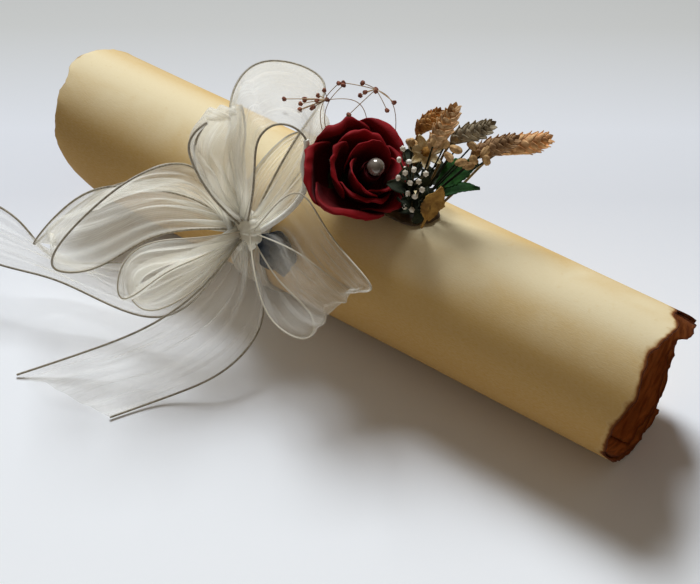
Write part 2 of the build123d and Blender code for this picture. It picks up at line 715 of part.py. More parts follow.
os.makedirs("parts", exist_ok=True)
for name, solid in build().items():
    export_step(solid, f"parts/{name}.step")
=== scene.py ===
from math import atan2, cos, degrees, exp, hypot, pi, radians, sin, sqrt

import bpy
import numpy as np
from bpy.props import FloatProperty, FloatVectorProperty, IntProperty, PointerProperty
from mathutils import Matrix, Vector, noise


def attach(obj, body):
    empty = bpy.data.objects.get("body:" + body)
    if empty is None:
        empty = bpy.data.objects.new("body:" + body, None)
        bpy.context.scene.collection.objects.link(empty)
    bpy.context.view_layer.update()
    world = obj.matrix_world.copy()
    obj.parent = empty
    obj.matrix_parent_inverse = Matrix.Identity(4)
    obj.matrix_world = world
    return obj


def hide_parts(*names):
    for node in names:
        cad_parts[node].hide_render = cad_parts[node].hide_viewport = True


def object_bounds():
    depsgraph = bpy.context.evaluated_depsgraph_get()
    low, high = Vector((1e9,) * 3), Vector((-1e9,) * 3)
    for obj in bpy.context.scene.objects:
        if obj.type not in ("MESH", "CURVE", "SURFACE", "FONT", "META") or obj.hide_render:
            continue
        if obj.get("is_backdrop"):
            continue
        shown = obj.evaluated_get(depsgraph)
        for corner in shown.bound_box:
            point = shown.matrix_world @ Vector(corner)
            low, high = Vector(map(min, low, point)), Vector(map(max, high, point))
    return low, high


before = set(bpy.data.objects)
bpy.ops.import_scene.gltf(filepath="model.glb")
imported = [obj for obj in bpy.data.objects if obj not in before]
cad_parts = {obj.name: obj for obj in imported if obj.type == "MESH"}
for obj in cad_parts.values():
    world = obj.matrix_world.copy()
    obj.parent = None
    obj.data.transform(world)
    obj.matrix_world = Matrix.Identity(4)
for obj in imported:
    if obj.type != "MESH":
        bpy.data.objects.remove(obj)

bl_info = {
    "name": "Tied paper scroll",
    "version": (1, 0, 0),
    "blender": (4, 5, 0),
    "location": "View3D > Sidebar > Scroll",
    "description": "Parchment scroll with a sheer wired ribbon bow and a dried rose corsage",
    "category": "Add Mesh",
}

MM = 0.001
GOLDEN_ANGLE = 137.5
CAD_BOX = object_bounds()

# Lines of the part, in millimetres, as the solids have them
ROLL_RADIUS = 24.4
PITCH = 1.1
FREE_EDGE_ANGLE = -62.0
FREE_TO_FLOOR = 28.0
AXIS_Z = 23.983
KNOT_ANGLE = 154.0
HEART = np.array((-22.5, -25.55, 36.45))
ROLL_TOP = 47.747
ROLL_HALF = 108.0

# Angles swept from the free edge where the tied ribbon leaves the paper to bridge the step there
EDGE_REACH = 20.0
BRIDGE_START = 290.0
BRIDGE_END = 340.0

# Least space that the bow keeps from the roll and the floor
CLOTH_GAP = 0.35

# Torn ends of the sheet: polar angle and where the sheet ends along X
NEAR_END = (
    (-90, 106.2), (-60, 105.9), (-33, 104.5), (-15, 103.8), (-4, 104.1), (3, 106.8), (13, 107.9),
    (30, 108.6), (38, 106.2), (50, 103.6), (64, 104.1), (76, 107.2), (89, 107.0), (99, 106.1), (111, 104.9),
    (119, 106.2), (125, 106.4), (141, 107.5), (152, 106.4), (165, 104.9), (185, 104.0), (204, 103.4),
    (216, 105.0), (240, 105.8), (270, 106.2),
)
FAR_END = (
    (-90, -105.0), (-40, -106.2), (0, -105.4), (43, -106.9), (62, -108.3), (75, -110.1), (87, -111.6),
    (100, -111.0), (118, -108.8), (137, -107.1), (157, -105.7), (173, -104.0), (190, -102.4), (205, -101.8),
    (240, -103.6), (270, -105.0),
)

# Points of the first and second edge of each loop and tail, from the knot's heart
LOOPS = {
    "ribbon_loop_up": (
        (
            (2, 0, 5), (2.9, 2.2, 16), (2.9, 4, 27), (2.8, 7, 33.6), (5.5, 10.5, 37), (10, 13, 37),
            (14.5, 13.8, 33.4), (15, 11.4, 25.7), (16.3, 10.3, 18.9), (14.5, 6.9, 12.4), (6.8, 0.6, 3.1),
        ),
        (
            (-2, 2, 6), (-5, 6, 17), (-15, 15, 24), (-23, 29, 28), (-22, 40, 29), (-4, 47, 26),
            (3, 28, 23), (2, 4, 5),
        ),
    ),
    "ribbon_loop_left": (
        (
            (0, -2, 4), (-5, -8, 18), (-9, -10, 30), (-10, -8, 38), (-9, -3, 40), (-12.0, -1.3, 35.2),
            (-14.2, -3.6, 24.9), (-8.7, -3.6, 13.3), (1, -1, 5),
        ),
        (
            (-3, 1, 5), (-4.6, 4.5, 10.6), (-8.2, 9.8, 17), (-11.5, 15, 23.7), (-15, 20.4, 28.1),
            (-13.1, 19.2, 24.4), (-8.6, 12.6, 18.9), (-4, 2, 5),
        ),
    ),
    "ribbon_loop_side": (
        (
            (-1, -3, 3), (-18, 0, 16), (-22, -15, 24), (-27, -34, 21), (-34, -47, 2), (-30, -39, -3),
            (-20, -22, 2), (-1, -3, 2),
        ),
        (
            (-4, -2, 3), (-16, -3, 6), (-30, -9, 8), (-48, -22, 4), (-59, -33, -13), (-54, -20, -6),
            (-37, -1, 1.5), (-6, -1, 2),
        ),
    ),
    "ribbon_loop_low": (
        (
            (1, -3, 2), (-4, -20, 10), (-12, -33, 12), (-14, -39, 8), (-13, -42, -2), (-8, -30, 0),
            (-3, -18, 1), (1, -4, 1),
        ),
        (
            (-1, -4, 1), (-10, -17, -4), (-20, -22, -9), (-25, -28, -16), (-20, -29, -22),
            (-10, -22, -19), (-3, -13, -10), (0, -4, -1),
        ),
    ),
    "ribbon_loop_right": (
        ((5, -1, 3), (19, 5, 21), (34, 0, 15), (50, -4, 7), (42, -3, 2), (24, -2, 4), (6, -1, 2)),
        (
            (4, -2, 2), (18, -16, -3), (27, -20, -8), (38, -19, -8), (35, -12, -9), (22, -8, -6),
            (6, -2, -1),
        ),
    ),
}
TAILS = {
    "ribbon_tail_out": (
        (
            (-3, -4, -3), (-21, -13, -15), (-44, -21, -23), (-59, -27, -24), (-70, -28, -14),
            (-91, -33, -7),
        ),
        (
            (0, -5, -4), (-15, -26, -26), (-35, -32, -25), (-49, -36, -21), (-68, -42, -20),
            (-90, -46, -17),
        ),
    ),
    "ribbon_tail_long": (
        ((2, -4, 0), (1, -23, -6), (-10, -36, -18), (-23, -46, -27), (-42, -64, -35.6)),
        ((4, -4, -2), (16, -13, -19), (15, -29, -27), (4, -43, -34), (-7, -60, -35.6)),
    ),
}

# Foot of the rose, how far it leans about Y and X, and its rings of petals: count, start and span,
# then height, radius and share of the span
ROSE_BASE = Vector((1.5, -4.0, 54.947))
ROSE_LEAN_X = 29.0
ROSE_LEAN_Y = 8.0
PETAL_RINGS = {
    "outer": (
        (5, 10.0, 100.0),
        ((0.0, 7.0, 0.55), (3.0, 12.2, 0.95), (7.0, 14.6, 1.0), (10.5, 15.2, 0.8), (12.0, 16.2, 0.4)),
    ),
    "middle": (
        (4, 40.0, 122.0),
        ((0.0, 5.0, 0.6), (3.0, 9.0, 0.95), (7.0, 10.8, 1.0), (11.5, 11.2, 0.8), (13.2, 12.0, 0.4)),
    ),
    "inner": (
        (3, 15.0, 160.0),
        ((0.0, 3.0, 0.6), (3.0, 5.8, 0.95), (7.0, 7.0, 1.0), (11.5, 7.3, 0.8), (13.4, 7.7, 0.45)),
    ),
}

# Flowers: foot on the glue along X and Y, then points over the top of the roll
EARS = (
    ((27, 2), (40, 19, 20), (51, 24.5, 26)),
    ((25, 5), (34, 14, 19), (44, 18, 27)),
    ((21, 6), (28, 12, 23), (38, 14, 32)),
    ((22, 2), (24, 7, 22), (29, 9, 37)),
    ((17, 7), (14, 15, 17), (19, 17, 25)),
)
BUD_SPRIGS = (
    ((-2, 6), ((-4, 14, 11), (-5, 11, 22), (-8, -1, 30)), ((-8, -6, 33), (-14, -6, 29), (-20, -6, 28))),
    ((6, 8), ((5, 16, 12), (4, 14, 26), (3, 8, 33)), ((4, 1, 37), (-5, 3, 35), (9, 5, 30))),
)
FILLER_SPRIG = ((20, 1), ((21, 0, 7), (21.5, 0, 11)), ((19, 0, 16), (24, 2, 15), (24, -3, 10)))
LEAVES = {
    "leaf_green_upper": ((26, 3), (27, 6, 9), (31, 8, 15), (37, 12, 18), 9.0, 20.0),
    "leaf_green_lower": ((28, 0), (28, 3, 7), (33, 5, 11.5), (40, 8, 13), 8.0, -15.0),
    "leaf_dried_brown": ((28, -4), (30, -5, 6), (31, -4, 11), (32, -1, 17), 7.5, 80.0),
}
STAR_TIP = ((21, 8), (20, 11, 9), (21, 8, 18))
STAR_FACING = Vector((0.39, -0.56, 0.73))

# Slate bloom: place along X and polar angle on the roll
BLOOM_PLACE = (-11.0, 161.5)


def shade(red, green, blue):
    """Linear colour of the usual 0 to 255 screen values."""
    values = []
    for level in (red, green, blue):
        part = level / 255.0
        values.append(part / 12.92 if part <= 0.04045 else ((part + 0.055) / 1.055) ** 2.4)
    return (*values, 1.0)


class Nodes:
    """A node tree under construction."""

    def node(self, kind, inputs, **settings):
        """New node of a kind, its inputs given as values or as other nodes' outputs."""
        node = self.tree.nodes.new(kind)
        for label, value in settings.items():
            setattr(node, label, value)
        for socket, value in inputs.items():
            for one in value if isinstance(value, list) else [value]:
                if isinstance(one, bpy.types.NodeSocket):
                    self.join(one, node.inputs[socket])
                else:
                    node.inputs[socket].default_value = one
        return node

    def join(self, output, socket):
        """Link from an output to an input."""
        self.tree.links.new(output, socket)

    def maths(self, operation, *values):
        """Result of one Math node."""
        return self.node("ShaderNodeMath", dict(enumerate(values)), operation=operation).outputs[0]

    def times(self, *values):
        """Product of two values."""
        return self.maths("MULTIPLY", *values)

    def plus(self, *values):
        """Sum of two values."""
        return self.maths("ADD", *values)


class Finish(Nodes):
    """A procedural material under construction."""

    def __init__(self, name, roughness=0.8, **sockets):
        self.material = bpy.data.materials.new(name)
        self.material.use_nodes = True
        self.tree = self.material.node_tree
        self.surface = self.tree.nodes["Principled BSDF"]
        self.surface.inputs["Roughness"].default_value = roughness
        for label, value in sockets.items():
            self.surface.inputs[label.replace("_", " ")].default_value = value

    def place(self, stretch=(1.0, 1.0, 1.0), uv=None):
        """Coordinates in metres on the object, or on its UV map, stretched along each axis."""
        if uv:
            source = self.node("ShaderNodeUVMap", {}, uv_map=uv).outputs["UV"]
        else:
            source = self.node("ShaderNodeTexCoord", {}).outputs["Object"]
        return self.node("ShaderNodeMapping", {"Vector": source, "Scale": stretch}).outputs["Vector"]

    def noise(self, where, scale, detail=3.0, distortion=0.0):
        """Noise from 0 to 1 at so many cells a metre."""
        inputs = {"Vector": where, "Scale": scale, "Detail": detail, "Distortion": distortion}
        return self.node("ShaderNodeTexNoise", inputs).outputs["Fac"]

    def attribute(self, name):
        """The piece's own attribute of this name."""
        return self.node("ShaderNodeAttribute", {}, attribute_name=name).outputs["Fac"]

    def shadow_share(self, share):
        """1 for what the camera sees, and this share for light on its way past the piece."""
        path = self.node("ShaderNodeLightPath", {}).outputs["Is Shadow Ray"]
        return self.between(path, 0.0, 1.0, 1.0, share)

    def between(self, value, low, high, start=0.0, end=1.0):
        """Value mapped from low to high onto start to end, and held there."""
        inputs = {"Value": value, "From Min": low, "From Max": high, "To Min": start, "To Max": end}
        return self.node("ShaderNodeMapRange", inputs).outputs["Result"]

    def axes(self, where):
        """Outputs X, Y and Z of coordinates."""
        return self.node("ShaderNodeSeparateXYZ", {"Vector": where}).outputs

    def ramp(self, factor, *stops):
        """Colour ramp of (position, colour) stops."""
        node = self.node("ShaderNodeValToRGB", {"Fac": factor})
        ramp = node.color_ramp
        while len(ramp.elements) < len(stops):
            ramp.elements.new(0.5)
        for element, (position, colour) in zip(ramp.elements, stops):
            element.position = position
            element.color = colour
        return node.outputs["Color"]

    def mix(self, factor, first, second):
        """Two colours mixed by a factor."""
        return self.node("ShaderNodeMix", {0: factor, 6: first, 7: second}, data_type="RGBA").outputs[2]

    def over(self, colour, other, value, low, high, share=1.0):
        """Colour with another laid over it, up to a share, as a value goes from low to high."""
        return self.mix(self.between(value, low, high, 0.0, share), colour, other)

    def sheer(self, colour, cover):
        """Lets light through the fibres, and past them where the cloth doesn't cover."""
        glow = self.node("ShaderNodeBsdfTranslucent", {"Color": colour})
        fibre = self.node("ShaderNodeMixShader", {0: 0.5, 1: self.surface.outputs[0], 2: glow.outputs[0]})
        clear = self.node("ShaderNodeBsdfTransparent", {})
        cloth = self.node("ShaderNodeMixShader", {0: cover, 1: clear.outputs[0], 2: fibre.outputs[0]})
        self.join(cloth.outputs[0], self.tree.nodes["Material Output"].inputs["Surface"])
        return self.material

    def wear(self, colour, height=None, distance=0.1 * MM, alpha=None):
        """Joins colour, relief and see-through to the surface and gives the material."""
        self.join(colour, self.surface.inputs["Base Color"])
        if height is not None:
            bump = self.node("ShaderNodeBump", {"Height": height, "Distance": distance, "Strength": 1.0})
            self.join(bump.outputs["Normal"], self.surface.inputs["Normal"])
        if alpha is not None:
            self.join(alpha, self.surface.inputs["Alpha"])
        return self.material


def parchment(cream, toast_and_shade):
    """Aged paper: mottled cream with fine fibres, and singed rims by the attributes rim and inside, the
    inner face browner; a painted highlight pales its crest and painted shade browns its lower sides.
    """
    finish = Finish("parchment", 0.8, Specular_IOR_Level=0.12)
    where = finish.place()
    patches = finish.noise(where, 22.0, 4.0, 0.4)
    fibres = finish.noise(finish.place((1.0, 4.0, 4.0)), 900.0, 2.0)
    specks = finish.noise(where, 420.0, 5.0)
    ahead, _, height = finish.axes(where)
    # Painted shade: the browned colour darkens towards the floor.
    aged_and_painted_shade = finish.over(shade(192, 150, 82), toast_and_shade, height, 22.0 * MM, 46.0 * MM)
    # Painted highlight: clean cream along the crest, besides the clean patches.
    crest = finish.between(height, 43.0 * MM, 47.5 * MM, 0.0, 0.85)
    clean = finish.maths("MAXIMUM", finish.between(patches, 0.3, 0.62), crest)
    face = finish.mix(clean, aged_and_painted_shade, cream)
    # Painted shade: the lower sides take the browned colour all over.
    face = finish.over(face, aged_and_painted_shade, height, 47.9 * MM, 38.5 * MM)
    # Painted shade on the sides below the crest, deeper towards the far end.
    flank = finish.between(height, 48.0 * MM, 40.0 * MM, 0.0, 0.4)
    far = finish.times(finish.between(ahead, -30.0 * MM, -100.0 * MM), flank)
    face = finish.mix(far, face, shade(160, 124, 66))
    face = finish.over(face, toast_and_shade, specks, 0.62, 0.8, 0.35)
    face = finish.over(face, shade(250, 244, 226), fibres, 0.3, 0.7, 0.08)
    ragged = finish.noise(where, 260.0, 3.0)
    burn = finish.times(finish.attribute("rim"), finish.between(ragged, 0.3, 0.7, 1.7, 0.6))
    outer = finish.ramp(
        finish.between(burn, 0.0, 2.6 * MM),
        (0.0, shade(74, 34, 14)),
        (0.3, shade(120, 70, 32)),
        (0.55, shade(176, 136, 84)),
        (1.0, shade(222, 200, 152)),
    )
    face = finish.over(outer, face, burn, 0.9 * MM, 2.6 * MM)
    streaks = finish.noise(finish.place((6.0, 1.0, 1.0)), 130.0, 4.0, 0.5)
    back = finish.ramp(
        finish.between(burn, 0.0, 26.0 * MM),
        (0.0, shade(108, 52, 20)),
        (0.04, shade(200, 118, 58)),
        (0.35, shade(200, 122, 66)),
        (1.0, shade(196, 144, 92)),
    )
    back = finish.over(back, shade(126, 58, 20), streaks, 0.35, 0.65, 0.75)
    colour = finish.mix(finish.attribute("inside"), face, back)
    return finish.wear(colour, finish.plus(fibres, finish.times(specks, 0.6)), 0.05 * MM)


def organza(name, tint, cover, gathered=0.0):
    """Sheer woven cloth: fine threads both ways on the UV map cloth, denser where it is gathered, and along
    its folds denser and whiter with a painted highlight.
    """
    finish = Finish(name, 0.5, Sheen_Weight=0.3, Sheen_Roughness=0.4, Specular_IOR_Level=0.3)
    where = finish.place(uv="cloth")
    threads = []
    for axis, pitch in (("X", 0.38 * MM), ("Y", 0.42 * MM)):
        turn = finish.times(finish.axes(where)[axis], 2.0 * pi / pitch)
        threads.append(finish.between(finish.maths("SINE", turn), -0.2, 1.0))
    weave = finish.maths("MAXIMUM", *threads)
    # Streaks along the folds: denser cloth, whitened with a painted highlight.
    streaks = finish.noise(finish.place((0.08, 1.0, 1.0), "cloth"), 380.0, 3.0)
    clouds = finish.noise(where, 60.0, 2.0)
    cloth = finish.ramp(clouds, (0.3, tint), (0.7, shade(250, 248, 240)))
    colour = finish.over(cloth, shade(255, 253, 248), streaks, 0.5, 0.75, 0.8)
    density = finish.times(finish.between(weave, 0.0, 1.0, 0.7, 1.15), cover)
    density = finish.plus(density, finish.between(streaks, 0.52, 0.74, 0.0, 0.2))
    density = finish.plus(density, finish.times(finish.attribute("gather"), 0.22))
    alpha = finish.between(finish.plus(density, gathered), 0.0, 1.0)
    finish.wear(colour, weave, 0.03 * MM)
    return finish.sheer(colour, finish.times(alpha, finish.shadow_share(0.22)))


def wired_thread(name, dark, light):
    """Overlocked thread over the ribbon's edge wire."""
    finish = Finish(name, 0.55, Sheen_Weight=0.2)
    where = finish.place()
    twist = finish.noise(where, 1400.0, 2.0)
    patches = finish.noise(where, 45.0, 2.0)
    colour = finish.over(shade(*dark), shade(*light), patches, 0.35, 0.65)
    colour = finish.over(colour, shade(214, 206, 188), twist, 0.35, 0.7, 0.45)
    return finish.wear(colour, twist, 0.08 * MM)


def velvet_petal(name, shade_and_vein_red, bright):
    """Preserved rose petal: dark velvet with veins, with painted shade towards its foot in the rose's depth
    and a painted highlight towards its rim, by the attribute rim.
    """
    finish = Finish(name, 0.7, Sheen_Weight=0.03, Sheen_Roughness=0.35, Specular_IOR_Level=0.18)
    where = finish.place()
    nap = finish.noise(where, 2400.0, 2.0)
    veins = finish.noise(finish.place((1.0, 0.12, 1.0), "petal"), 60.0, 3.0, 0.6)
    blotches = finish.noise(where, 130.0, 3.0)
    # Painted highlight towards the rim over painted shade at the foot, broken up by blotches.
    edge = finish.between(finish.attribute("rim"), 0.2, 1.0)
    colour = finish.mix(finish.times(edge, finish.between(blotches, 0.3, 0.7, 0.45, 1.0)), shade_and_vein_red, bright)
    colour = finish.over(colour, shade_and_vein_red, veins, 0.5, 0.75, 0.5)
    return finish.wear(colour, finish.plus(finish.times(nap, 0.3), veins), 0.18 * MM)


def dried_plant(name, light, dark, scale, streak=(1, 1, 1), airy=0.0):
    """Dried stem, scale, leaf or bud: two tones broken up by grain, and how light its shadow is."""
    light, dark = shade(*light), shade(*dark)
    finish = Finish(name, 0.85, Specular_IOR_Level=0.25)
    where = finish.place(streak)
    patches = finish.noise(where, scale, 4.0, 0.5)
    grain = finish.noise(where, scale * 6.0, 2.0)
    colour = finish.ramp(patches, (0.34, dark), (0.66, light))
    colour = finish.over(colour, dark, grain, 0.5, 0.75, 0.35)
    height = finish.plus(patches, finish.times(grain, 0.5))
    return finish.wear(colour, height, 0.2 * MM, finish.shadow_share(1.0 - airy))


def bead_pearl():
    """Grey pearl coating with soft colour drift."""
    finish = Finish("grey pearl", 0.22, Metallic=0.35, Coat_Weight=0.6, Coat_Roughness=0.08)
    where = finish.place()
    drift = finish.noise(where, 260.0, 3.0)
    tones = (0.3, shade(104, 94, 86)), (0.5, shade(158, 148, 136)), (0.7, shade(128, 114, 112))
    colour = finish.ramp(drift, *tones)
    return finish.wear(colour, finish.noise(where, 900.0), 0.02 * MM)


def set_glue():
    """Set hot glue: lumpy, its dull brown painted dark as the shade under the flowers."""
    finish = Finish("set glue", 0.5, Specular_IOR_Level=0.3)
    where = finish.place()
    lumps = finish.noise(where, 220.0, 4.0, 0.8)
    colour = finish.ramp(lumps, (0.3, shade(48, 34, 18)), (0.7, shade(92, 68, 36)))
    return finish.wear(colour, lumps, 0.5 * MM)


class Tree(Nodes):
    """A Geometry Nodes tree under construction. Its input geometry is a mesh of edges or faces."""

    def __init__(self, name, sockets):
        self.tree = bpy.data.node_groups.new(name, "GeometryNodeTree")
        face = self.tree.interface
        face.new_socket("Geometry", in_out="INPUT", socket_type="NodeSocketGeometry")
        for label, kind, value in sockets:
            socket = face.new_socket(label, in_out="INPUT", socket_type=f"NodeSocket{kind}")
            if value is not None:
                socket.default_value = value
        face.new_socket("Geometry", in_out="OUTPUT", socket_type="NodeSocketGeometry")
        self.start = self.tree.nodes.new("NodeGroupInput")

    def given(self, label):
        """Output that carries one of the tree's inputs."""
        return self.start.outputs[label]

    def add(self, kind, inputs, output=0, **settings):
        """New node with these inputs; gives one of its outputs."""
        return self.node(kind, inputs, **settings).outputs[output]

    def lines(self):
        """The given mesh's lines of edges as curves."""
        return self.add("GeometryNodeMeshToCurve", {"Mesh": self.given("Geometry")})

    def index(self):
        """Number of each point."""
        return self.add("GeometryNodeInputIndex", {})

    def shape(self, label):
        """Geometry of the object given as one of the tree's inputs."""
        return self.add("GeometryNodeObjectInfo", {"Object": self.given(label)}, output="Geometry")

    def both(self, *parts):
        """Several geometries as one."""
        return self.add("GeometryNodeJoinGeometry", {"Geometry": list(parts)})

    def tube(self, curve, radius, sides=8):
        """Round tube along a curve."""
        ring = self.add("GeometryNodeCurvePrimitiveCircle", {"Resolution": sides, "Radius": radius})
        inputs = {"Curve": curve, "Profile Curve": ring, "Fill Caps": True}
        return self.add("GeometryNodeCurveToMesh", inputs)

    def painted(self, geometry, material):
        """Geometry made real and given one of the tree's materials."""
        real = self.add("GeometryNodeRealizeInstances", {"Geometry": geometry})
        return self.add("GeometryNodeSetMaterial", {"Geometry": real, "Material": self.given(material)})

    def close(self, geometry):
        """Joins the result to the tree's output."""
        smooth = self.add("GeometryNodeSetShadeSmooth", {"Geometry": geometry})
        self.node("NodeGroupOutput", {"Geometry": smooth})
        return self.tree


def edge_wire_tree():
    """Thread-covered wire along every edge line it is given."""
    tree = Tree("Edge wire", [("Radius", "Float", 0.5 * MM), ("Thread", "Material", None)])
    return tree.close(tree.painted(tree.tube(tree.lines(), tree.given("Radius")), "Thread"))


def petal_ring_tree():
    """One petal repeated round an axis, each a little bigger or smaller, with seeded ripples."""
    sockets = [
        ("Count", "Int", 5),
        ("Start", "Float", 0.0),
        ("Ripple", "Float", 0.5 * MM),
        ("Size Spread", "Float", 0.06),
        ("Seed", "Int", 3),
        ("Petal", "Material", None),
    ]
    tree = Tree("Petal ring", sockets)
    points = tree.add("GeometryNodePoints", {"Count": tree.given("Count")})
    index = tree.index()
    step = tree.maths("DIVIDE", 2.0 * pi, tree.given("Count"))
    turn = tree.maths("MULTIPLY_ADD", index, step, tree.given("Start"))
    euler = tree.add("ShaderNodeCombineXYZ", {"Z": turn})
    low = tree.maths("SUBTRACT", 1.0, tree.given("Size Spread"))
    high = tree.plus(1.0, tree.given("Size Spread"))
    node = tree.node("FunctionNodeRandomValue", {}, data_type="FLOAT")
    for label, value in {"Min": low, "Max": high, "ID": index, "Seed": tree.given("Seed")}.items():
        found = [socket for socket in node.inputs if socket.name == label and socket.enabled]
        tree.join(value, found[0])
    size = [socket for socket in node.outputs if socket.enabled][0]
    flat = tree.add("ShaderNodeCombineXYZ", {"X": 1.0, "Y": 1.0, "Z": size})
    inputs = {"Points": points, "Instance": tree.given("Geometry"), "Rotation": euler, "Scale": flat}
    ring = tree.add("GeometryNodeInstanceOnPoints", inputs)
    real = tree.add("GeometryNodeRealizeInstances", {"Geometry": ring})
    place = tree.add("GeometryNodeInputPosition", {})
    wave = tree.add("ShaderNodeTexNoise", {"Vector": place, "Scale": 170.0, "Detail": 1.0}, output=1)
    centred = tree.add("ShaderNodeVectorMath", {0: wave, 1: (0.5, 0.5, 0.5)}, operation="SUBTRACT")
    rim = tree.add("GeometryNodeInputNamedAttribute", {"Name": "rim"}, data_type="FLOAT")
    twice = tree.times(tree.times(rim, tree.given("Ripple")), 2.0)
    offset = tree.add("ShaderNodeVectorMath", {0: centred, "Scale": twice}, operation="SCALE")
    moved = tree.add("GeometryNodeSetPosition", {"Geometry": real, "Offset": offset})
    return tree.close(tree.painted(moved, "Petal"))


def grass_ear_tree():
    """Stem with a head of overlapping scales set in a spiral round its upper part."""
    sockets = [
        ("Stem Radius", "Float", 0.4 * MM),
        ("Head Start", "Float", 0.6),
        ("Scales", "Int", 40),
        ("Scale Size", "Float", 1.0),
        ("Scale", "Object", None),
        ("Straw", "Material", None),
        ("Husk", "Material", None),
    ]
    tree = Tree("Grass ear", sockets)
    curve = tree.lines()
    stem = tree.painted(tree.tube(curve, tree.given("Stem Radius"), 7), "Straw")
    head = tree.add("GeometryNodeTrimCurve", {"Curve": curve, "Start": tree.given("Head Start")})
    node = tree.node("GeometryNodeCurveToPoints", {"Curve": head, "Count": tree.given("Scales")})
    index = tree.index()
    turn = tree.times(index, radians(GOLDEN_ANGLE))
    spin = tree.add("FunctionNodeAxisAngleToRotation", {"Axis": (0.0, 0.0, 1.0), "Angle": turn})
    turns = {"Rotation": node.outputs["Rotation"], "Rotate By": spin}
    facing = tree.add("FunctionNodeRotateRotation", turns, rotation_space="LOCAL")
    bulge = tree.add("ShaderNodeFloatCurve", {"Value": tree.maths("DIVIDE", index, tree.given("Scales"))})
    points = bulge.node.mapping.curves[0].points
    points[0].location = (0.0, 0.55)
    points[1].location = (1.0, 0.42)
    points.new(0.3, 1.0)
    points.new(0.65, 0.85)
    size = tree.times(bulge, tree.given("Scale Size"))
    inputs = {"Points": node.outputs["Points"], "Instance": tree.shape("Scale")}
    inputs |= {"Rotation": facing, "Scale": size}
    scales = tree.painted(tree.add("GeometryNodeInstanceOnPoints", inputs), "Husk")
    return tree.close(tree.both(stem, scales))


def sprig_tree():
    """Fine forked stems with a bud or blossom on the end of every branch."""
    sockets = [
        ("Stem Radius", "Float", 0.3 * MM),
        ("Tip Size", "Float", 1.0),
        ("Tip", "Object", None),
        ("Stem", "Material", None),
        ("Flower", "Material", None),
    ]
    tree = Tree("Forked sprig", sockets)
    curve = tree.lines()
    stems = tree.painted(tree.tube(curve, tree.given("Stem Radius"), 6), "Stem")
    ends = tree.add("GeometryNodeCurveEndpointSelection", {"Start Size": 0, "End Size": 1})
    turn = tree.times(tree.index(), 1.7)
    euler = tree.add("ShaderNodeCombineXYZ", {"X": turn, "Y": turn, "Z": turn})
    inputs = {"Points": curve, "Selection": ends, "Instance": tree.shape("Tip"), "Rotation": euler}
    inputs["Scale"] = tree.given("Tip Size")
    tips = tree.painted(tree.add("GeometryNodeInstanceOnPoints", inputs), "Flower")
    return tree.close(tree.both(stems, tips))


def linked(name, data):
    """Object with this data, linked to the scene."""
    piece = bpy.data.objects.new(name, data)
    bpy.context.scene.collection.objects.link(piece)
    return piece


def new_mesh(name, points, faces, edges=(), uv=None, uv_name="cloth", attributes=None):
    """Mesh object at the origin from points in millimetres, with a UV map in metres and attributes."""
    mesh = bpy.data.meshes.new(name)
    mesh.from_pydata([tuple(float(part) * MM for part in point) for point in points], list(edges), faces)
    if uv is not None:
        layer = mesh.uv_layers.new(name=uv_name)
        corners = np.zeros(len(mesh.loops), dtype=np.int32)
        mesh.loops.foreach_get("vertex_index", corners)
        layer.data.foreach_set("uv", (np.asarray(uv, dtype=np.float32) * MM)[corners].ravel())
    for label, values in (attributes or {}).items():
        mesh.attributes.new(label, "FLOAT", "POINT").data.foreach_set("value", np.asarray(values, float))
    for polygon in mesh.polygons:
        polygon.use_smooth = True
    mesh.update()
    return linked(name, mesh)


def thick_sheet(name, grid, thickness, uv=None, uv_name="cloth", attributes=None, wrap=False):
    """Closed thin piece with both faces of a grid of points, rows by columns, in millimetres."""
    grid = np.asarray(grid, float)
    rows, columns = grid.shape[:2]
    along = np.roll(grid, -1, 0) - np.roll(grid, 1, 0) if wrap else np.gradient(grid, axis=0)
    normal = np.cross(along, np.gradient(grid, axis=1))
    normal /= np.maximum(np.linalg.norm(normal, axis=2, keepdims=True), 1e-9)
    half = normal * thickness / 2
    skins = np.concatenate([(grid + half).reshape(-1, 3), (grid - half).reshape(-1, 3)])
    size = rows * columns
    faces = []
    last = rows if wrap else rows - 1
    for i in range(last):
        k = (i + 1) % rows
        for j in range(columns - 1):
            a, b = i * columns + j, k * columns + j
            faces.append((a, b, b + 1, a + 1))
            faces.append((size + a, size + a + 1, size + b + 1, size + b))
    rim = []
    if wrap:
        for j, flip in ((0, False), (columns - 1, True)):
            rim += [(i * columns + j, ((i + 1) % rows) * columns + j, flip) for i in range(rows)]
    else:
        for j, flip in ((0, False), (columns - 1, True)):
            rim += [(i * columns + j, (i + 1) * columns + j, flip) for i in range(rows - 1)]
        for start, flip in ((0, True), (size - columns, False)):
            rim += [(start + j, start + j + 1, flip) for j in range(columns - 1)]
    for a, b, flip in rim:
        quad = (a, size + a, size + b, b)
        faces.append(quad[::-1] if flip else quad)
    double = {label: np.concatenate([np.ravel(values)] * 2) for label, values in (attributes or {}).items()}
    both = None if uv is None else np.concatenate([np.reshape(uv, (-1, 2))] * 2)
    return new_mesh(name, skins, faces, uv=both, uv_name=uv_name, attributes=double)


def spans(rows, columns):
    """Row, column, climb from 0 to 1 and side from -1 to 1 of each point of a grid."""
    for i in range(rows):
        for j in range(columns):
            yield i, j, i / (rows - 1), 2.0 * j / (columns - 1) - 1.0


def round_spans(rows, columns):
    """Row, column, turn about the axis and share from 0 to 1 of each point of a closed grid."""
    for i in range(rows):
        for j in range(columns):
            yield i, j, 2.0 * pi * i / rows, j / (columns - 1)


def blade(rows, columns, place):
    """Grid of a husk, leaflet or petal with its points at place(climb, side)."""
    grid = np.zeros((rows, columns, 3))
    for i, j, climb, side in spans(rows, columns):
        grid[i, j] = place(climb, side)
    return grid


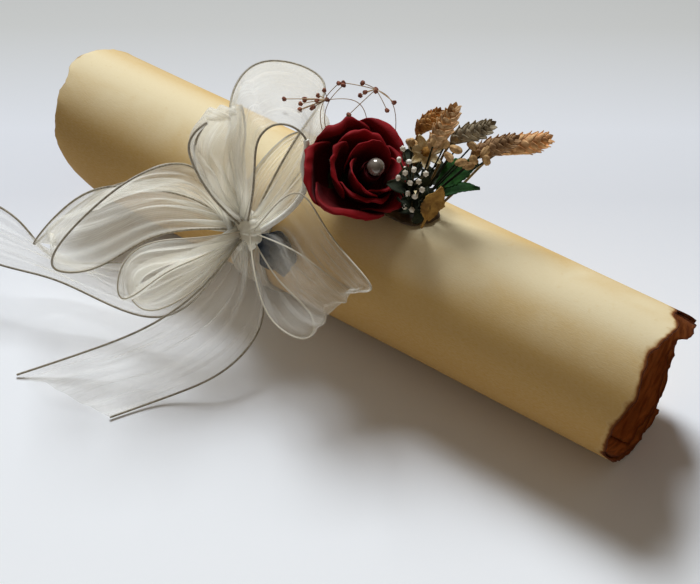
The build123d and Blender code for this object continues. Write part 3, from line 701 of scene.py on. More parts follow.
def plain_petal(name, grid, thickness):
    """Petal with its climb, from 0 to 1 over its rows, as the attribute rim."""
    rows, columns = grid.shape[:2]
    rims = np.repeat(np.arange(rows)[:, None] / (rows - 1), columns, axis=1)
    return thick_sheet(name, grid, thickness, np.zeros((rows, columns, 2)), "petal", {"rim": rims})


def smooth_line(points, count):
    """Points at even steps on the natural cubic spline through the given ones."""
    points = np.array(points, float)
    steps = np.linalg.norm(np.diff(points, axis=0), axis=1)
    knots = np.concatenate(([0.0], np.cumsum(steps)))
    size = len(points)
    system = np.eye(size)
    right = np.zeros((size, 3))
    for i in range(1, size - 1):
        before, after = steps[i - 1], steps[i]
        system[i, i - 1 : i + 2] = (before, 2.0 * (before + after), after)
        right[i] = 6.0 * ((points[i + 1] - points[i]) / after - (points[i] - points[i - 1]) / before)
    bend = np.linalg.solve(system, right)
    at = np.linspace(0.0, knots[-1], count)
    i = np.clip(np.searchsorted(knots, at, side="right") - 1, 0, size - 2)
    span = steps[i][:, None]
    a = (knots[i + 1] - at)[:, None] / span
    b = 1.0 - a
    curve = a * points[i] + b * points[i + 1]
    return curve + ((a**3 - a) * bend[i] + (b**3 - b) * bend[i + 1]) * span**2 / 6.0


def line_mesh(name, lines):
    """Edge-only mesh of several lines of points in millimetres, the input of the tube trees."""
    points, edges = [], []
    for line in lines:
        start = len(points)
        points.extend(line)
        edges.extend((start + i, start + i + 1) for i in range(len(line) - 1))
    return new_mesh(name, points, [], edges)


def from_tree(name, tree, carrier, **values):
    """Mesh piece that a Geometry Nodes tree makes from a piece, which is removed, or from lines."""
    if isinstance(carrier, list):
        carrier = line_mesh(f"{name}_lines", carrier)
    modifier = carrier.modifiers.new("shape", "NODES")
    modifier.node_group = tree
    for item in tree.interface.items_tree:
        label = item.name.replace(" ", "_")
        if item.item_type == "SOCKET" and item.in_out == "INPUT" and label in values:
            modifier[item.identifier] = values[label]
    graph = bpy.context.evaluated_depsgraph_get()
    graph.update()
    mesh = bpy.data.meshes.new_from_object(
        carrier.evaluated_get(graph), preserve_all_data_layers=True, depsgraph=graph
    )
    if not mesh.polygons:
        raise RuntimeError(f"{name}: its tree made no faces")
    bpy.data.objects.remove(carrier)
    return linked(name, mesh)


def keep(piece, slot, *nodes, material=None):
    """Rides a finished piece on the part, in place of its solids."""
    if material is not None:
        piece.data.materials.clear()
        piece.data.materials.append(material)
    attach(piece, "root")
    if nodes:
        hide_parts(*nodes)


def frame_to(start, ahead):
    """Matrix, in metres, that takes the Z axis at the origin to a line from start towards ahead."""
    direction = (Vector(ahead) - Vector(start)).normalized()
    turn = direction.to_track_quat("Z", "Y").to_matrix().to_4x4()
    return Matrix.Translation(Vector(start) * MM) @ turn


def raised(height):
    """Matrix that lifts a piece by so many millimetres along Z."""
    return Matrix.Translation((0.0, 0.0, height * MM))


def wrapped_radius(angle, roll_radius):
    """Radius of the tied roll's outline at a polar angle, bridging the step at the free edge."""
    swept = (FREE_EDGE_ANGLE - angle) % 360.0
    if swept < EDGE_REACH or swept > BRIDGE_END:
        return roll_radius
    if swept <= BRIDGE_START:
        return roll_radius - PITCH * swept / 360.0
    low = roll_radius - PITCH * BRIDGE_START / 360.0
    return low + (roll_radius - low) * (swept - BRIDGE_START) / (BRIDGE_END - BRIDGE_START)


def clear_of_roll(points):
    """Points pushed out of the roll and off the floor by a small gap."""
    flat = np.array(points, float).reshape(-1, 3)
    out = flat[:, 1:] - (0.0, AXIS_Z)
    reach = np.linalg.norm(out, axis=1)
    near = (np.abs(flat[:, 0]) < ROLL_HALF) & (reach < ROLL_RADIUS + CLOTH_GAP) & (reach > 1e-6)
    flat[near, 1:] = (0.0, AXIS_Z) + out[near] * ((ROLL_RADIUS + CLOTH_GAP) / reach[near])[:, None]
    flat[:, 2] = np.maximum(flat[:, 2], CLOTH_GAP)
    return flat.reshape(points.shape)


class ScrollPaper(bpy.types.PropertyGroup):
    """Sizes and colours of the rolled sheet."""

    length: FloatProperty(name="Length", description="Length of the roll", default=0.212, unit="LENGTH")
    radius: FloatProperty(
        name="Radius", description="Outer radius at the free edge", default=0.0244, unit="LENGTH"
    )
    thickness: FloatProperty(
        name="Thickness", description="Thickness of the sheet", default=0.0004, unit="LENGTH"
    )
    turns: FloatProperty(name="Turns", description="Turns that the sheet makes", default=2.12, min=1.0)
    jag: FloatProperty(
        name="Jag", description="Depth of the nibbles in the torn ends", default=0.0007, unit="LENGTH"
    )
    cream: FloatVectorProperty(
        name="Cream", description="Colour of the clean paper",
        subtype="COLOR", size=4, default=shade(230, 214, 176),
    )
    # Colour of the browned patches and specks, and of the painted shade on the lower sides of the roll.
    toast_and_shade: FloatVectorProperty(
        name="Toast", description="Colour of the browned patches",
        subtype="COLOR", size=4, default=shade(206, 170, 104),
    )


class ScrollRibbon(bpy.types.PropertyGroup):
    """Sizes and colours of the sheer ribbon."""

    width: FloatProperty(
        name="Width", description="Flat width of the ribbon", default=0.038, unit="LENGTH"
    )
    thickness: FloatProperty(
        name="Thickness", description="Thickness of the cloth", default=0.00012, unit="LENGTH"
    )
    wire: FloatProperty(
        name="Wire", description="Radius of the wired edge", default=0.0003, unit="LENGTH"
    )
    pleats: FloatProperty(
        name="Pleats", description="Pleats across the ribbon at the knot", default=4.5
    )
    crown: FloatProperty(
        name="Crown", description="Most that a loop bellies out", default=0.0032, unit="LENGTH"
    )
    cover: FloatProperty(
        name="Cover", description="Share of the light that one face stops", default=0.2, subtype="FACTOR"
    )
    tint: FloatVectorProperty(
        name="Tint", description="Colour of the cloth",
        subtype="COLOR", size=4, default=shade(238, 232, 218),
    )


class ScrollCorsage(bpy.types.PropertyGroup):
    """Sizes and colours of the dried flowers."""

    petal: FloatProperty(
        name="Petal", description="Thickness of a petal", default=0.00045, unit="LENGTH"
    )
    bead: FloatProperty(name="Bead", description="Diameter of the bead", default=0.0052, unit="LENGTH")
    scales: IntProperty(name="Scales", description="Scales on each grass ear", default=46)
    stem: FloatProperty(name="Stem", description="Radius of the stems", default=0.0004, unit="LENGTH")
    # Painted shade at the petals' feet in the rose's depth, and the veins' colour.
    shade_and_vein_red: FloatVectorProperty(
        name="Deep red", description="Colour in the rose's depth",
        subtype="COLOR", size=4, default=shade(84, 2, 5),
    )
    # Painted highlight at the petals' rims.
    bright: FloatVectorProperty(
        name="Bright red", description="Colour at the petals' rims",
        subtype="COLOR", size=4, default=shade(156, 5, 18),
    )


class ScrollStage(bpy.types.PropertyGroup):
    """Floor, light and camera."""

    floor: FloatVectorProperty(
        name="Floor", description="Colour of the floor",
        subtype="COLOR", size=4, default=shade(216, 216, 219),
    )
    key: FloatProperty(
        name="Key", description="Strength of the light from behind", default=14.4, subtype="POWER"
    )
    fill: FloatProperty(name="Fill", description="Strength of the light from all round", default=0.17)
    lens: FloatProperty(name="Lens", description="Focal length in millimetres", default=73.8)


def torn_end(places, angle):
    """Where the sheet ends along X at a polar angle, by smooth steps between the given places."""
    turned = (angle + 90.0) % 360.0 - 90.0
    for (low, before), (high, after) in zip(places, places[1:]):
        if turned <= high:
            share = (turned - low) / (high - low)
            return before + (after - before) * share * share * (3.0 - 2.0 * share)
    return places[-1][1]


class SCROLL_OT_roll(bpy.types.Operator):
    """Make the rolled sheet with its torn and singed ends"""

    bl_idname = "scroll.roll"
    bl_label = "Rolled sheet"

    STEP = 2.5
    MIDDLE_STEPS = 60
    END_LENGTH = 12.0
    FROM_END = (0.0, 0.25, 0.5, 0.8, 1.2, 1.7, 2.3, 3.0, 4.0, 5.0, 6.2)

    # Shallow dent at the back of the far end: its depth, angle, start along X and run
    DENT = 3.4
    DENT_ANGLE = 212.0
    DENT_START = -88.0
    DENT_RUN = 16.0

    def nibbled_end(self, places, sign, swept, turn, jag):
        """Where a torn end of the sheet lies along X after so many degrees of the roll."""
        seed = Vector((swept * 0.035, sign * 7.0 + 3.1 * turn, 0.4))
        nibble = 0.0
        for depth, pace in ((1.3, 1.9), (0.7, 6.1), (0.4, 17.0)):
            nibble += depth * noise.noise(seed * pace)
        tucked = 0.9 * turn * (0.8 + noise.noise(seed * 0.6))
        base = sign * torn_end(places, FREE_EDGE_ANGLE - swept)
        return sign * (base + jag * nibble - max(tucked, 0.0))

    def execute(self, context):
        paper = context.scene.scroll_paper
        radius = paper.radius / MM
        thick, jag = paper.thickness / MM, paper.jag / MM
        end_swept = 360.0 * paper.turns
        grid, rims = [], []
        steps = int(end_swept / self.STEP)
        inner_half = paper.length / MM / 2.0 - self.END_LENGTH
        for i in range(steps + 1):
            swept = end_swept * i / steps
            angle = radians(FREE_EDGE_ANGLE - swept)
            turn = round((swept - FREE_TO_FLOOR) / 360.0)
            reach = radius - PITCH * swept / 360.0 - thick / 2.0
            far = self.nibbled_end(FAR_END, -1, swept, turn, jag)
            near = self.nibbled_end(NEAR_END, 1, swept, turn, jag)
            xs = [far + d for d in self.FROM_END]
            xs += list(np.linspace(-inner_half, inner_half, self.MIDDLE_STEPS + 1))
            xs += [near - d for d in reversed(self.FROM_END)]
            row, rim = [], []
            for x in xs:
                edge = min(x - far, near - x)
                place = Vector((x * 0.03, swept * 0.02, 0.0))
                flutter = 0.35 * noise.noise(place * 5.0 + Vector((9, 0, 0))) * np.exp(-edge / 2.5)
                lift = 0.16 * noise.noise(place) + flutter
                dent = self.DENT * max(0.0, (self.DENT_START - x) / self.DENT_RUN) ** 1.5
                dent *= max(0.0, cos((angle - radians(self.DENT_ANGLE) + pi) % (2.0 * pi) - pi)) ** 3
                away = reach + lift * min(1.0, 0.4 + edge) - dent
                py, pz = away * cos(angle), AXIS_Z + away * sin(angle)
                row.append((x, py, max(pz, PITCH * turn + thick / 2.0)))
                rim.append((edge if near - x < x - far else 2.5 * edge + 1.6) * MM)
            grid.append(row)
            rims.append(rim)
        piece = thick_sheet("rolled_sheet", grid, thick, attributes={"rim": rims})
        points = np.array([tuple(v.co) for v in piece.data.vertices]) / MM
        first, second = np.split(np.hypot(points[:, 1], points[:, 2] - AXIS_Z), 2)
        inner_first = float(first.mean() < second.mean())
        inside = np.repeat((inner_first, 1.0 - inner_first), len(first))
        piece.data.attributes.new("inside", "FLOAT", "POINT").data.foreach_set("value", inside)
        keep(piece, "parchment", "paper_roll", material=parchment(tuple(paper.cream), tuple(paper.toast_and_shade)))
        return {"FINISHED"}


def ribbon_shape(edges, looped, folds, ribbon, seed):
    """Grid of a gathered ribbon between its two wired edges, its UV map and how gathered it is."""
    rows, columns = 110, 34
    gather_reach, edge_share = 13.0, 0.1
    width = ribbon.width / MM
    first, second = [smooth_line([HEART + np.array(point) for point in line], rows) for line in edges]
    chord = second - first
    span = np.linalg.norm(chord, axis=1)
    middle = (first + second) / 2.0
    along = np.gradient(middle, axis=0)
    lengths = np.concatenate(([0.0], np.cumsum(np.linalg.norm(np.diff(middle, axis=0), axis=1))))
    normal = np.cross(along, chord)
    normal /= np.maximum(np.linalg.norm(normal, axis=1, keepdims=True), 1e-9)
    at = np.linspace(0.0, 1.0, rows)
    from_knot = lengths if not looped else np.minimum(lengths, lengths[-1] - lengths)
    gather = np.exp(-from_knot / gather_reach)
    slack = np.sqrt(np.maximum(width**2 - span**2, 0.0))
    fine = slack / (4.0 * ribbon.pleats) * (folds + (1.0 - folds) * gather)
    broad = np.minimum(slack / 4.0, ribbon.crown / MM) * (1.0 - gather)
    grid = np.zeros((rows, columns, 3))
    for j in range(columns):
        s = j / (columns - 1)
        window = min(1.0, s / edge_share, (1.0 - s) / edge_share)
        for i in range(rows):
            drift = noise.noise(Vector((at[i] * 2.2, s * 1.3, seed)))
            pleat = sin(2.0 * pi * (ribbon.pleats * s + 0.6 * drift) + seed)
            belly = sin(pi * s) + 0.4 * sin(2.0 * pi * (1.5 * s + drift) + seed)
            crease = noise.noise(Vector((lengths[i] * 0.05, s * 9.0, seed + 5.0)))
            lift = fine[i] * pleat + broad[i] * belly + 0.7 * crease
            grid[i, j] = first[i] + chord[i] * s + normal[i] * lift * window
    grid = clear_of_roll(grid)
    sides = np.linspace(0.0, width, columns)
    uv = np.stack(np.broadcast_arrays(lengths[:, None], sides[None, :]), axis=2)
    return grid, uv, np.repeat(gather[:, None], columns, axis=1), lengths[-1]


class SCROLL_OT_bow(bpy.types.Operator):
    """Make the loops and tails of the bow, with their wired edges"""

    bl_idname = "scroll.bow"
    bl_label = "Bow"

    # Share of the cover, depth of the folds away from the knot, how much denser the gathers are,
    # how far along the first edge starts to be rolled in, and the thread on the edge wires
    LOOKS = {
        "ribbon_loop_up": (1.55, 0.45, 0.7, 0.56, "dark"),
        "ribbon_loop_left": (1.55, 0.48, 0.7, 1.0, "dark"),
        "ribbon_loop_side": (1.5, 0.55, 1.0, 1.0, "dark"),
        "ribbon_loop_low": (1.55, 0.62, 1.0, 1.0, "cream"),
        "ribbon_loop_right": (1.45, 0.27, -2.8, 1.0, "cream"),
        "ribbon_tail_out": (0.8, 0.6, 1.0, 1.0, "dark"),
        "ribbon_tail_long": (0.6, 0.6, 0.5, 1.0, "dark"),
    }

    def execute(self, context):
        ribbon = context.scene.scroll_ribbon
        threads = {
            "dark": wired_thread("dark wired edge", (112, 100, 80), (154, 142, 118)),
            "cream": wired_thread("cream wired edge", (178, 166, 138), (228, 220, 200)),
            "rolled": wired_thread("rolled edge", (232, 228, 214), (255, 253, 246)),
        }
        tree = edge_wire_tree()
        for seed, (name, edges) in enumerate((LOOPS | TAILS).items()):
            looped = name in LOOPS
            share, folds, denser, rolled, thread = self.LOOKS[name]
            grid, uv, gather, length = ribbon_shape(edges, looped, folds, ribbon, seed * 1.7)
            along = np.clip((np.linspace(0.0, 1.0, gather.shape[0]) - rolled) / 0.12, 0.0, 1.0)
            hem = np.exp(-((np.linspace(0.0, 1.0, gather.shape[1]) / 0.08) ** 2))
            gather = gather * denser + 4.0 * along[:, None] * hem[None, :]
            cloth = organza(name.replace("_", " "), tuple(ribbon.tint), ribbon.cover * share)
            label, thickness = name.replace("ribbon", "organza"), ribbon.thickness / MM
            piece = thick_sheet(label, grid, thickness, uv, attributes={"gather": gather})
            keep(piece, "organza", name, material=cloth)
            turned = int(rolled * (grid.shape[0] - 1))
            radius = ribbon.wire * (1.2 if thread == "dark" else 0.8)
            lines = [grid[: turned + 1, 0], grid[:, -1]]
            wires = from_tree(f"{name}_wires", tree, lines, Radius=radius, Thread=threads[thread])
            if rolled < 1.0:
                values = {"Radius": 3.0 * ribbon.wire, "Thread": threads["rolled"]}
                roll = from_tree(f"{name}_rolled", tree, [grid[turned:, 0]], **values)
                wires = joined(wires.name, wires, roll)
            keep(wires, "thread")
        return {"FINISHED"}


class SCROLL_OT_band(bpy.types.Operator):
    """Make the ribbon round the roll, gathered to a narrow band"""

    bl_idname = "scroll.band"
    bl_label = "Band"

    CENTRE = -22.5
    WIDTH = 14.0
    PLEATS = 10
    FOLD = 1.3
    FLOOR_REACH = 30.0

    def execute(self, context):
        ribbon = context.scene.scroll_ribbon
        roll_radius = context.scene.scroll_paper.radius / MM
        rows, columns = 240, 81
        grid = np.zeros((rows, columns, 3))
        uv = np.zeros((rows, columns, 2))
        for i in range(rows):
            angle = -90.0 + 360.0 * i / rows
            radius = wrapped_radius(angle, roll_radius)
            off_floor = min(1.0, abs((angle + 90.0 + 180.0) % 360.0 - 180.0) / self.FLOOR_REACH)
            for j in range(columns):
                s = j / (columns - 1)
                wander = noise.noise(Vector((cos(radians(angle)), sin(radians(angle)), s * 2.0)))
                fold = 0.5 + 0.5 * sin(2.0 * pi * (self.PLEATS * s + 0.5 * wander))
                reach = radius + 0.2 + (self.FOLD * fold + 0.15 * wander) * off_floor
                x = self.CENTRE + self.WIDTH * (s - 0.5) * (1.0 - 0.05 * (1.0 + wander) * off_floor)
                z = AXIS_Z + reach * sin(radians(angle))
                grid[i, j] = (x, reach * cos(radians(angle)), max(z, 0.12 + 0.1 * fold))
                uv[i, j] = (radians(360.0 * i / rows) * radius, ribbon.width / MM * s)
        cloth = organza("organza gathered", tuple(ribbon.tint), ribbon.cover, 0.22)
        gather = {"gather": np.zeros((rows, columns))}
        piece = thick_sheet("organza_band", grid, ribbon.thickness / MM, uv, attributes=gather, wrap=True)
        keep(piece, "organza", "ribbon_band", material=cloth)
        thread = wired_thread("wired edge band", (112, 104, 88), (168, 158, 136))
        lines = [np.concatenate([grid[:, j], grid[:1, j]]) for j in (0, columns - 1)]
        for line in lines:
            line[:, 2] = np.maximum(line[:, 2], 0.32)
        wires = from_tree("ribbon_band_wires", edge_wire_tree(), lines, Radius=0.3 * MM, Thread=thread)
        keep(wires, "thread")
        return {"FINISHED"}


class SCROLL_OT_knot(bpy.types.Operator):
    """Make the gathered knot at the heart of the bow and the wire tie round its neck"""

    bl_idname = "scroll.knot"
    bl_label = "Knot"

    PLEATS = 11

    # The neck stands on the roll up to the bow's heart, and the head swells round that
    NECK_HEIGHT = 4.02
    NECK_RADIUS = 3.2
    NECK_SHARE = 0.12
    HEAD_RADIUS = 6.4
    HEAD_HEIGHT = 3.5

    # Wire tie: radius, height of its foot, rise, and steps in all and in a turn
    TIE = (3.75, 0.25, 0.9, 150, 48)

    def execute(self, context):
        ribbon = context.scene.scroll_ribbon
        out = Vector((0.0, cos(radians(KNOT_ANGLE)), sin(radians(KNOT_ANGLE))))
        base = Vector(HEART) - out * self.NECK_HEIGHT
        place = frame_to(base, base + out)
        rows, columns = 132, 34
        grid = np.zeros((rows, columns, 3))
        for i, j, turn, climb in round_spans(rows, columns):
            if climb < self.NECK_SHARE:
                radius, height = self.NECK_RADIUS, 1.5 * climb / self.NECK_SHARE
            else:
                rise = radians(-62.0 + 150.0 * (climb - self.NECK_SHARE) / (1.0 - self.NECK_SHARE))
                radius = self.HEAD_RADIUS * cos(rise)
                height = self.NECK_HEIGHT + self.HEAD_HEIGHT * sin(rise)
            wander = noise.noise(Vector((cos(turn) * 1.5, sin(turn) * 1.5, climb * 2.0)))
            fold = abs(sin(self.PLEATS * turn / 2.0 + 2.0 * wander))
            reach = max(radius * (0.86 + 0.2 * fold) + 0.5 * wander * climb, 0.25)
            grid[i, j] = (reach * cos(turn), reach * sin(turn), height + 0.35 * wander)
        around, up = np.linspace(0, 40, rows), np.linspace(0, 14, columns)
        uv = np.stack(np.meshgrid(around, up, indexing="ij"), axis=2)
        gather = {"gather": np.full((rows, columns), 0.5)}
        piece = thick_sheet("knot_gather", grid, 0.25, uv, attributes=gather, wrap=True)
        piece.data.transform(place)
        cloth = organza("organza knot", tuple(ribbon.tint), ribbon.cover, 0.55)
        keep(piece, "organza", "ribbon_knot", material=cloth)
        radius, foot, rise, steps, turn_steps = self.TIE
        coil = []
        for i in range(steps):
            turn = 2.0 * pi * i / turn_steps
            reach = radius + 0.12 * sin(3.0 * turn)
            coil.append((reach * cos(turn), reach * sin(turn), foot + rise * i / steps))
        thread = wired_thread("binding wire", (122, 112, 94), (170, 160, 138))
        tie = from_tree("binding_wire", edge_wire_tree(), [coil], Radius=0.2 * MM, Thread=thread)
        tie.data.transform(place)
        keep(tie, "thread", "knot_tie")
        return {"FINISHED"}


def rose_place():
    """Matrix of the rose: its axis along Z from the foot of its petals."""
    axis = Matrix.Rotation(radians(ROSE_LEAN_X), 3, "Y") @ Vector((0.0, 0.0, 1.0))
    axis = (Matrix.Rotation(radians(ROSE_LEAN_Y), 3, "X") @ axis).normalized()
    first = Vector((0.0, 1.0, 0.0)).cross(axis).normalized()
    second = axis.cross(first)
    turn = Matrix((first, second, axis)).transposed().to_4x4()
    return Matrix.Translation(ROSE_BASE * MM) @ turn


def value_at(rows, height, column):
    """Value of a column at this height, on straight lines between the given rows."""
    heights = [row[0] for row in rows]
    return float(np.interp(height, heights, [row[column] for row in rows]))


def rose_petal(name, rows, span, thickness, shape, seed):
    """One cupped petal with a rolled, waved rim, at angle 0 about the axis."""
    curl, out, up = shape
    high, wide = 26, 26
    top = rows[-1][0]
    grid = np.zeros((high, wide, 3))
    uv = np.zeros((high, wide, 2))
    rims = np.zeros((high, wide))
    for i, j, climb, side in spans(high, wide):
        height = top * climb
        radius, share = value_at(rows, height, 1), value_at(rows, height, 2)
        angle = radians(side * share * span / 2.0)
        lip = max(0.0, climb - 0.72) / 0.28
        wave = noise.noise(Vector((side * 2.1, climb * 1.4, seed)))
        reach = out * radius + side * share + curl * lip**2 + 0.9 * wave * climb
        dip = 1.2 * climb * side**2 + curl * 0.8 * lip**3 - 0.8 * climb * wave
        grid[i, j] = (reach * cos(angle), reach * sin(angle), up * height - dip)
        uv[i, j] = (side * radius, height)
        rims[i, j] = max(climb**2, abs(side) ** 3 * climb)
    return thick_sheet(name, grid, thickness, uv, "petal", {"rim": rims})


def spread_ring(piece, spread):
    """Opens or closes a ring of petals, most at their rims, round the angles given about its axis."""
    for vertex in piece.data.vertices:
        x, y, z = vertex.co / MM
        angle = degrees(atan2(y, x))
        change = 0.0
        for at, wide, out in spread:
            off = (angle - at + 180.0) % 360.0 - 180.0
            change += out * exp(-((off / wide) ** 2))
        share = 1.0 + change * min(1.0, max(0.0, z / 9.0)) / max(hypot(x, y), 1.0)
        vertex.co = (x * share * MM, y * share * MM, z * MM)


class SCROLL_OT_rose(bpy.types.Operator):
    """Make the preserved rose, ring by ring, with its core and bead"""

    bl_idname = "scroll.rose"
    bl_label = "Rose"

    # The heart sits a little off the outer ring's middle
    SHIFT = (4.2, 0.8, -1.6)

    # Where the outer ring closes or opens: angle about its axis, width of the place and reach
    SPREAD = ((168.0, 28.0, -3.6), (272.0, 22.0, 3.8), (343.0, 20.0, 1.8))

    # Curl of the rim, and how far the petals of a ring stand out and up beside the solid ones
    RINGS = {"outer": (1.5, 0.93, 0.88), "middle": (1.0, 0.88, 0.94), "inner": (0.6, 0.95, 1.0)}
    RIPPLES = {"outer": 1.1, "middle": 0.7, "inner": 0.4}

    # Height of the bead's middle, half angle of its hole, and its tilts
    BEAD_LIFT = 12.95
    HOLE_ANGLE = 14.0
    TILT_X = -86.0
    TILT_Y = 40.0

    def execute(self, context):
        corsage = context.scene.scroll_corsage
        place = rose_place()
        shade_and_vein_red, bright = tuple(corsage.shade_and_vein_red), tuple(corsage.bright)
        velvet = velvet_petal("velvet petal", shade_and_vein_red, bright)
        tree = petal_ring_tree()
        for seed, (ring, ((count, start, span), rows)) in enumerate(PETAL_RINGS.items()):
            thickness, shape = corsage.petal / MM, self.RINGS[ring]
            petal = rose_petal(f"{ring}_petal", rows, span, thickness, shape, 2.3 * seed + 0.7)
            piece = from_tree(
                f"rose_ring_{ring}",
                tree,
                petal,
                Count=count,
                Start=radians(start),
                Ripple=self.RIPPLES[ring] * MM,
                Seed=3 + seed,
                Petal=velvet,
            )
            if ring == "outer":
                spread_ring(piece, self.SPREAD)
            piece.data.transform(Matrix.Translation(Vector(self.SHIFT) * MM * seed / 2.0) @ place)
            keep(piece, "dried_rose", *[f"rose_petal_{ring}_{i + 1}" for i in range(count)])
        place = Matrix.Translation(Vector(self.SHIFT) * MM) @ place
        # The heart: darker copies of the velvet, painted shade in the rose's depth.
        self.core(place, velvet_petal("velvet core", shade(40, 3, 7), shade(96, 8, 16)))
        self.bead(corsage, place)
        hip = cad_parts["rose_hip"]
        hip.data.materials.clear()
        hip.data.materials.append(dried_plant("dried sepal", (72, 74, 40), (34, 34, 18), 420.0))
        return {"FINISHED"}

    def core(self, place, velvet):
        """Tight bud of wound petals round the bead."""
        rows, columns = 150, 16
        grid = np.zeros((rows, columns, 3))
        rims = np.zeros((rows, columns))
        for i in range(rows):
            turn = 5.2 * pi * i / (rows - 1)
            base = 1.5 + 2.1 * i / (rows - 1)
            for j in range(columns):
                climb = j / (columns - 1)
                wave = noise.noise(Vector((cos(turn), sin(turn), climb + i * 0.02)))
                reach = base * (0.55 + 0.6 * climb - 0.28 * climb**3) + 0.3 * wave * climb
                height = 0.3 + (9.0 + 1.3 * i / rows + 0.5 * wave) * climb
                grid[i, j] = (reach * cos(turn), reach * sin(turn), height)
                rims[i, j] = climb**3
        piece = thick_sheet("rose_heart", grid, 0.3, np.zeros((rows, columns, 2)), "petal", {"rim": rims})
        piece.data.transform(place)
        keep(piece, "dried_rose", "rose_core", material=velvet)

    def bead(self, corsage, place):
        """Bead with a blind hole drilled in one end."""
        radius, opening = corsage.bead / MM / 2.0, radians(self.HOLE_ANGLE)
        outline = []
        steps, sides = 26, 48
        for i in range(steps + 1):
            fall = opening + (pi - 2.0 * opening) * i / steps
            outline.append((radius * sin(fall), radius * cos(fall)))
        hole, mouth = outline[0]
        outline = [(hole, -mouth * 0.2), (hole, mouth - 0.25)] + outline
        points, faces = [], []
        for reach, height in outline:
            for i in range(sides):
                turn = 2.0 * pi * i / sides
                points.append((reach * cos(turn), reach * sin(turn), height))
        for k in range(len(outline) - 1):
            for i in range(sides):
                m = (i + 1) % sides
                faces.append((k * sides + i, (k + 1) * sides + i, (k + 1) * sides + m, k * sides + m))
        faces.append(tuple(range(sides)))
        faces.append(tuple(reversed(range((len(outline) - 1) * sides, len(outline) * sides))))
        piece = new_mesh("pearl_bead", points, faces)
        tilt = Matrix.Rotation(radians(self.TILT_X), 4, "X") @ Matrix.Rotation(radians(self.TILT_Y), 4, "Y")
        piece.data.transform(place @ raised(self.BEAD_LIFT) @ tilt)
        keep(piece, "pearl", "rose_pearl", material=bead_pearl())


def on_pad(foot):
    """Foot of a stem, in the glue just over the paper."""
    return np.array((foot[0], foot[1], AXIS_Z + sqrt(ROLL_RADIUS**2 - foot[1] ** 2) + 0.3))


def over_roll(point):
    """Point given over the top of the roll."""
    return np.array((point[0], point[1], ROLL_TOP + point[2]))


def pointed_scale(name, length, width, cup, tilt):
    """One husk: a pointed, cupped scale that grows along Z and leans out along X."""

    def place(climb, side):
        half = width / 2.0 * max(0.04, sin(pi * (0.12 + 0.86 * climb)) ** 0.8)
        out = tilt * climb**1.3 * length + cup * (1.0 - side**2) * sin(pi * min(climb + 0.1, 1.0))
        return (0.3 + out, side * half, climb * length * cos(tilt))

    return thick_sheet(name, blade(7, 5, place), 0.16)


class SCROLL_OT_ears(bpy.types.Operator):
    """Make the dried grass ears"""

    bl_idname = "scroll.ears"
    bl_label = "Grass ears"

    TONES = (
        ((240, 194, 140), (166, 116, 70)),
        ((180, 142, 102), (108, 78, 50)),
        ((168, 152, 124), (92, 78, 58)),
        ((230, 192, 144), (146, 108, 68)),
        ((212, 160, 98), (126, 84, 42)),
    )
    SIZES = (1.3, 1.15, 1.15, 1.2, 1.1)

    def execute(self, context):
        corsage = context.scene.scroll_corsage
        tree = grass_ear_tree()
        straw = dried_plant("dried straw", (170, 140, 90), (104, 78, 44), 240.0, streak=(1, 1, 0.3))
        scale = pointed_scale("husk_scale", 4.8, 3.1, 0.8, 0.5)
        for i, (foot, neck, tip) in enumerate(EARS):
            start, joint, end = on_pad(foot), over_roll(neck), over_roll(tip)
            bow = (joint + start) / 2.0 + (0.0, -0.4, 0.5)
            line = smooth_line([start, bow, joint, joint * 0.4 + end * 0.6, end * 0.98 + joint * 0.02], 48)
            whole = np.linalg.norm(np.diff(line, axis=0), axis=1).sum()
            head = 1.15 * np.linalg.norm(end - joint)
            piece = from_tree(
                f"dried_ear_{i + 1}",
                tree,
                [line],
                Stem_Radius=corsage.stem,
                Head_Start=1.0 - 0.98 * head / whole,
                Scales=corsage.scales,
                Scale_Size=self.SIZES[i],
                Scale=scale,
                Straw=straw,
                Husk=dried_plant(f"dried husk {i + 1}", *self.TONES[i], 420.0, airy=0.97),
            )
            keep(piece, "dried_stem", f"grass_ear_{i + 1}")
        bpy.data.objects.remove(scale)
        return {"FINISHED"}


def small_bud(name, radius, length, ribs):
    """Small ribbed bud about the origin."""
    rows, columns = 20, 9
    points, faces = [(0.0, 0.0, -length / 2.0)], []
    for j in range(1, columns):
        fall = pi * j / columns
        for i in range(rows):
            turn = 2.0 * pi * i / rows
            reach = radius * sin(fall) ** 0.8 * (1.0 + 0.16 * cos(ribs * turn))
            points.append((reach * cos(turn), reach * sin(turn), -length / 2.0 * cos(fall)))
    points.append((0.0, 0.0, length / 2.0))
    for i in range(rows):
        k = (i + 1) % rows
        faces.append((0, 1 + k, 1 + i))
        for j in range(columns - 2):
            a = 1 + j * rows
            faces.append((a + i, a + k, a + rows + k, a + rows + i))
        last = 1 + (columns - 2) * rows
        faces.append((last + i, last + k, len(points) - 1))
    return new_mesh(name, points, faces)


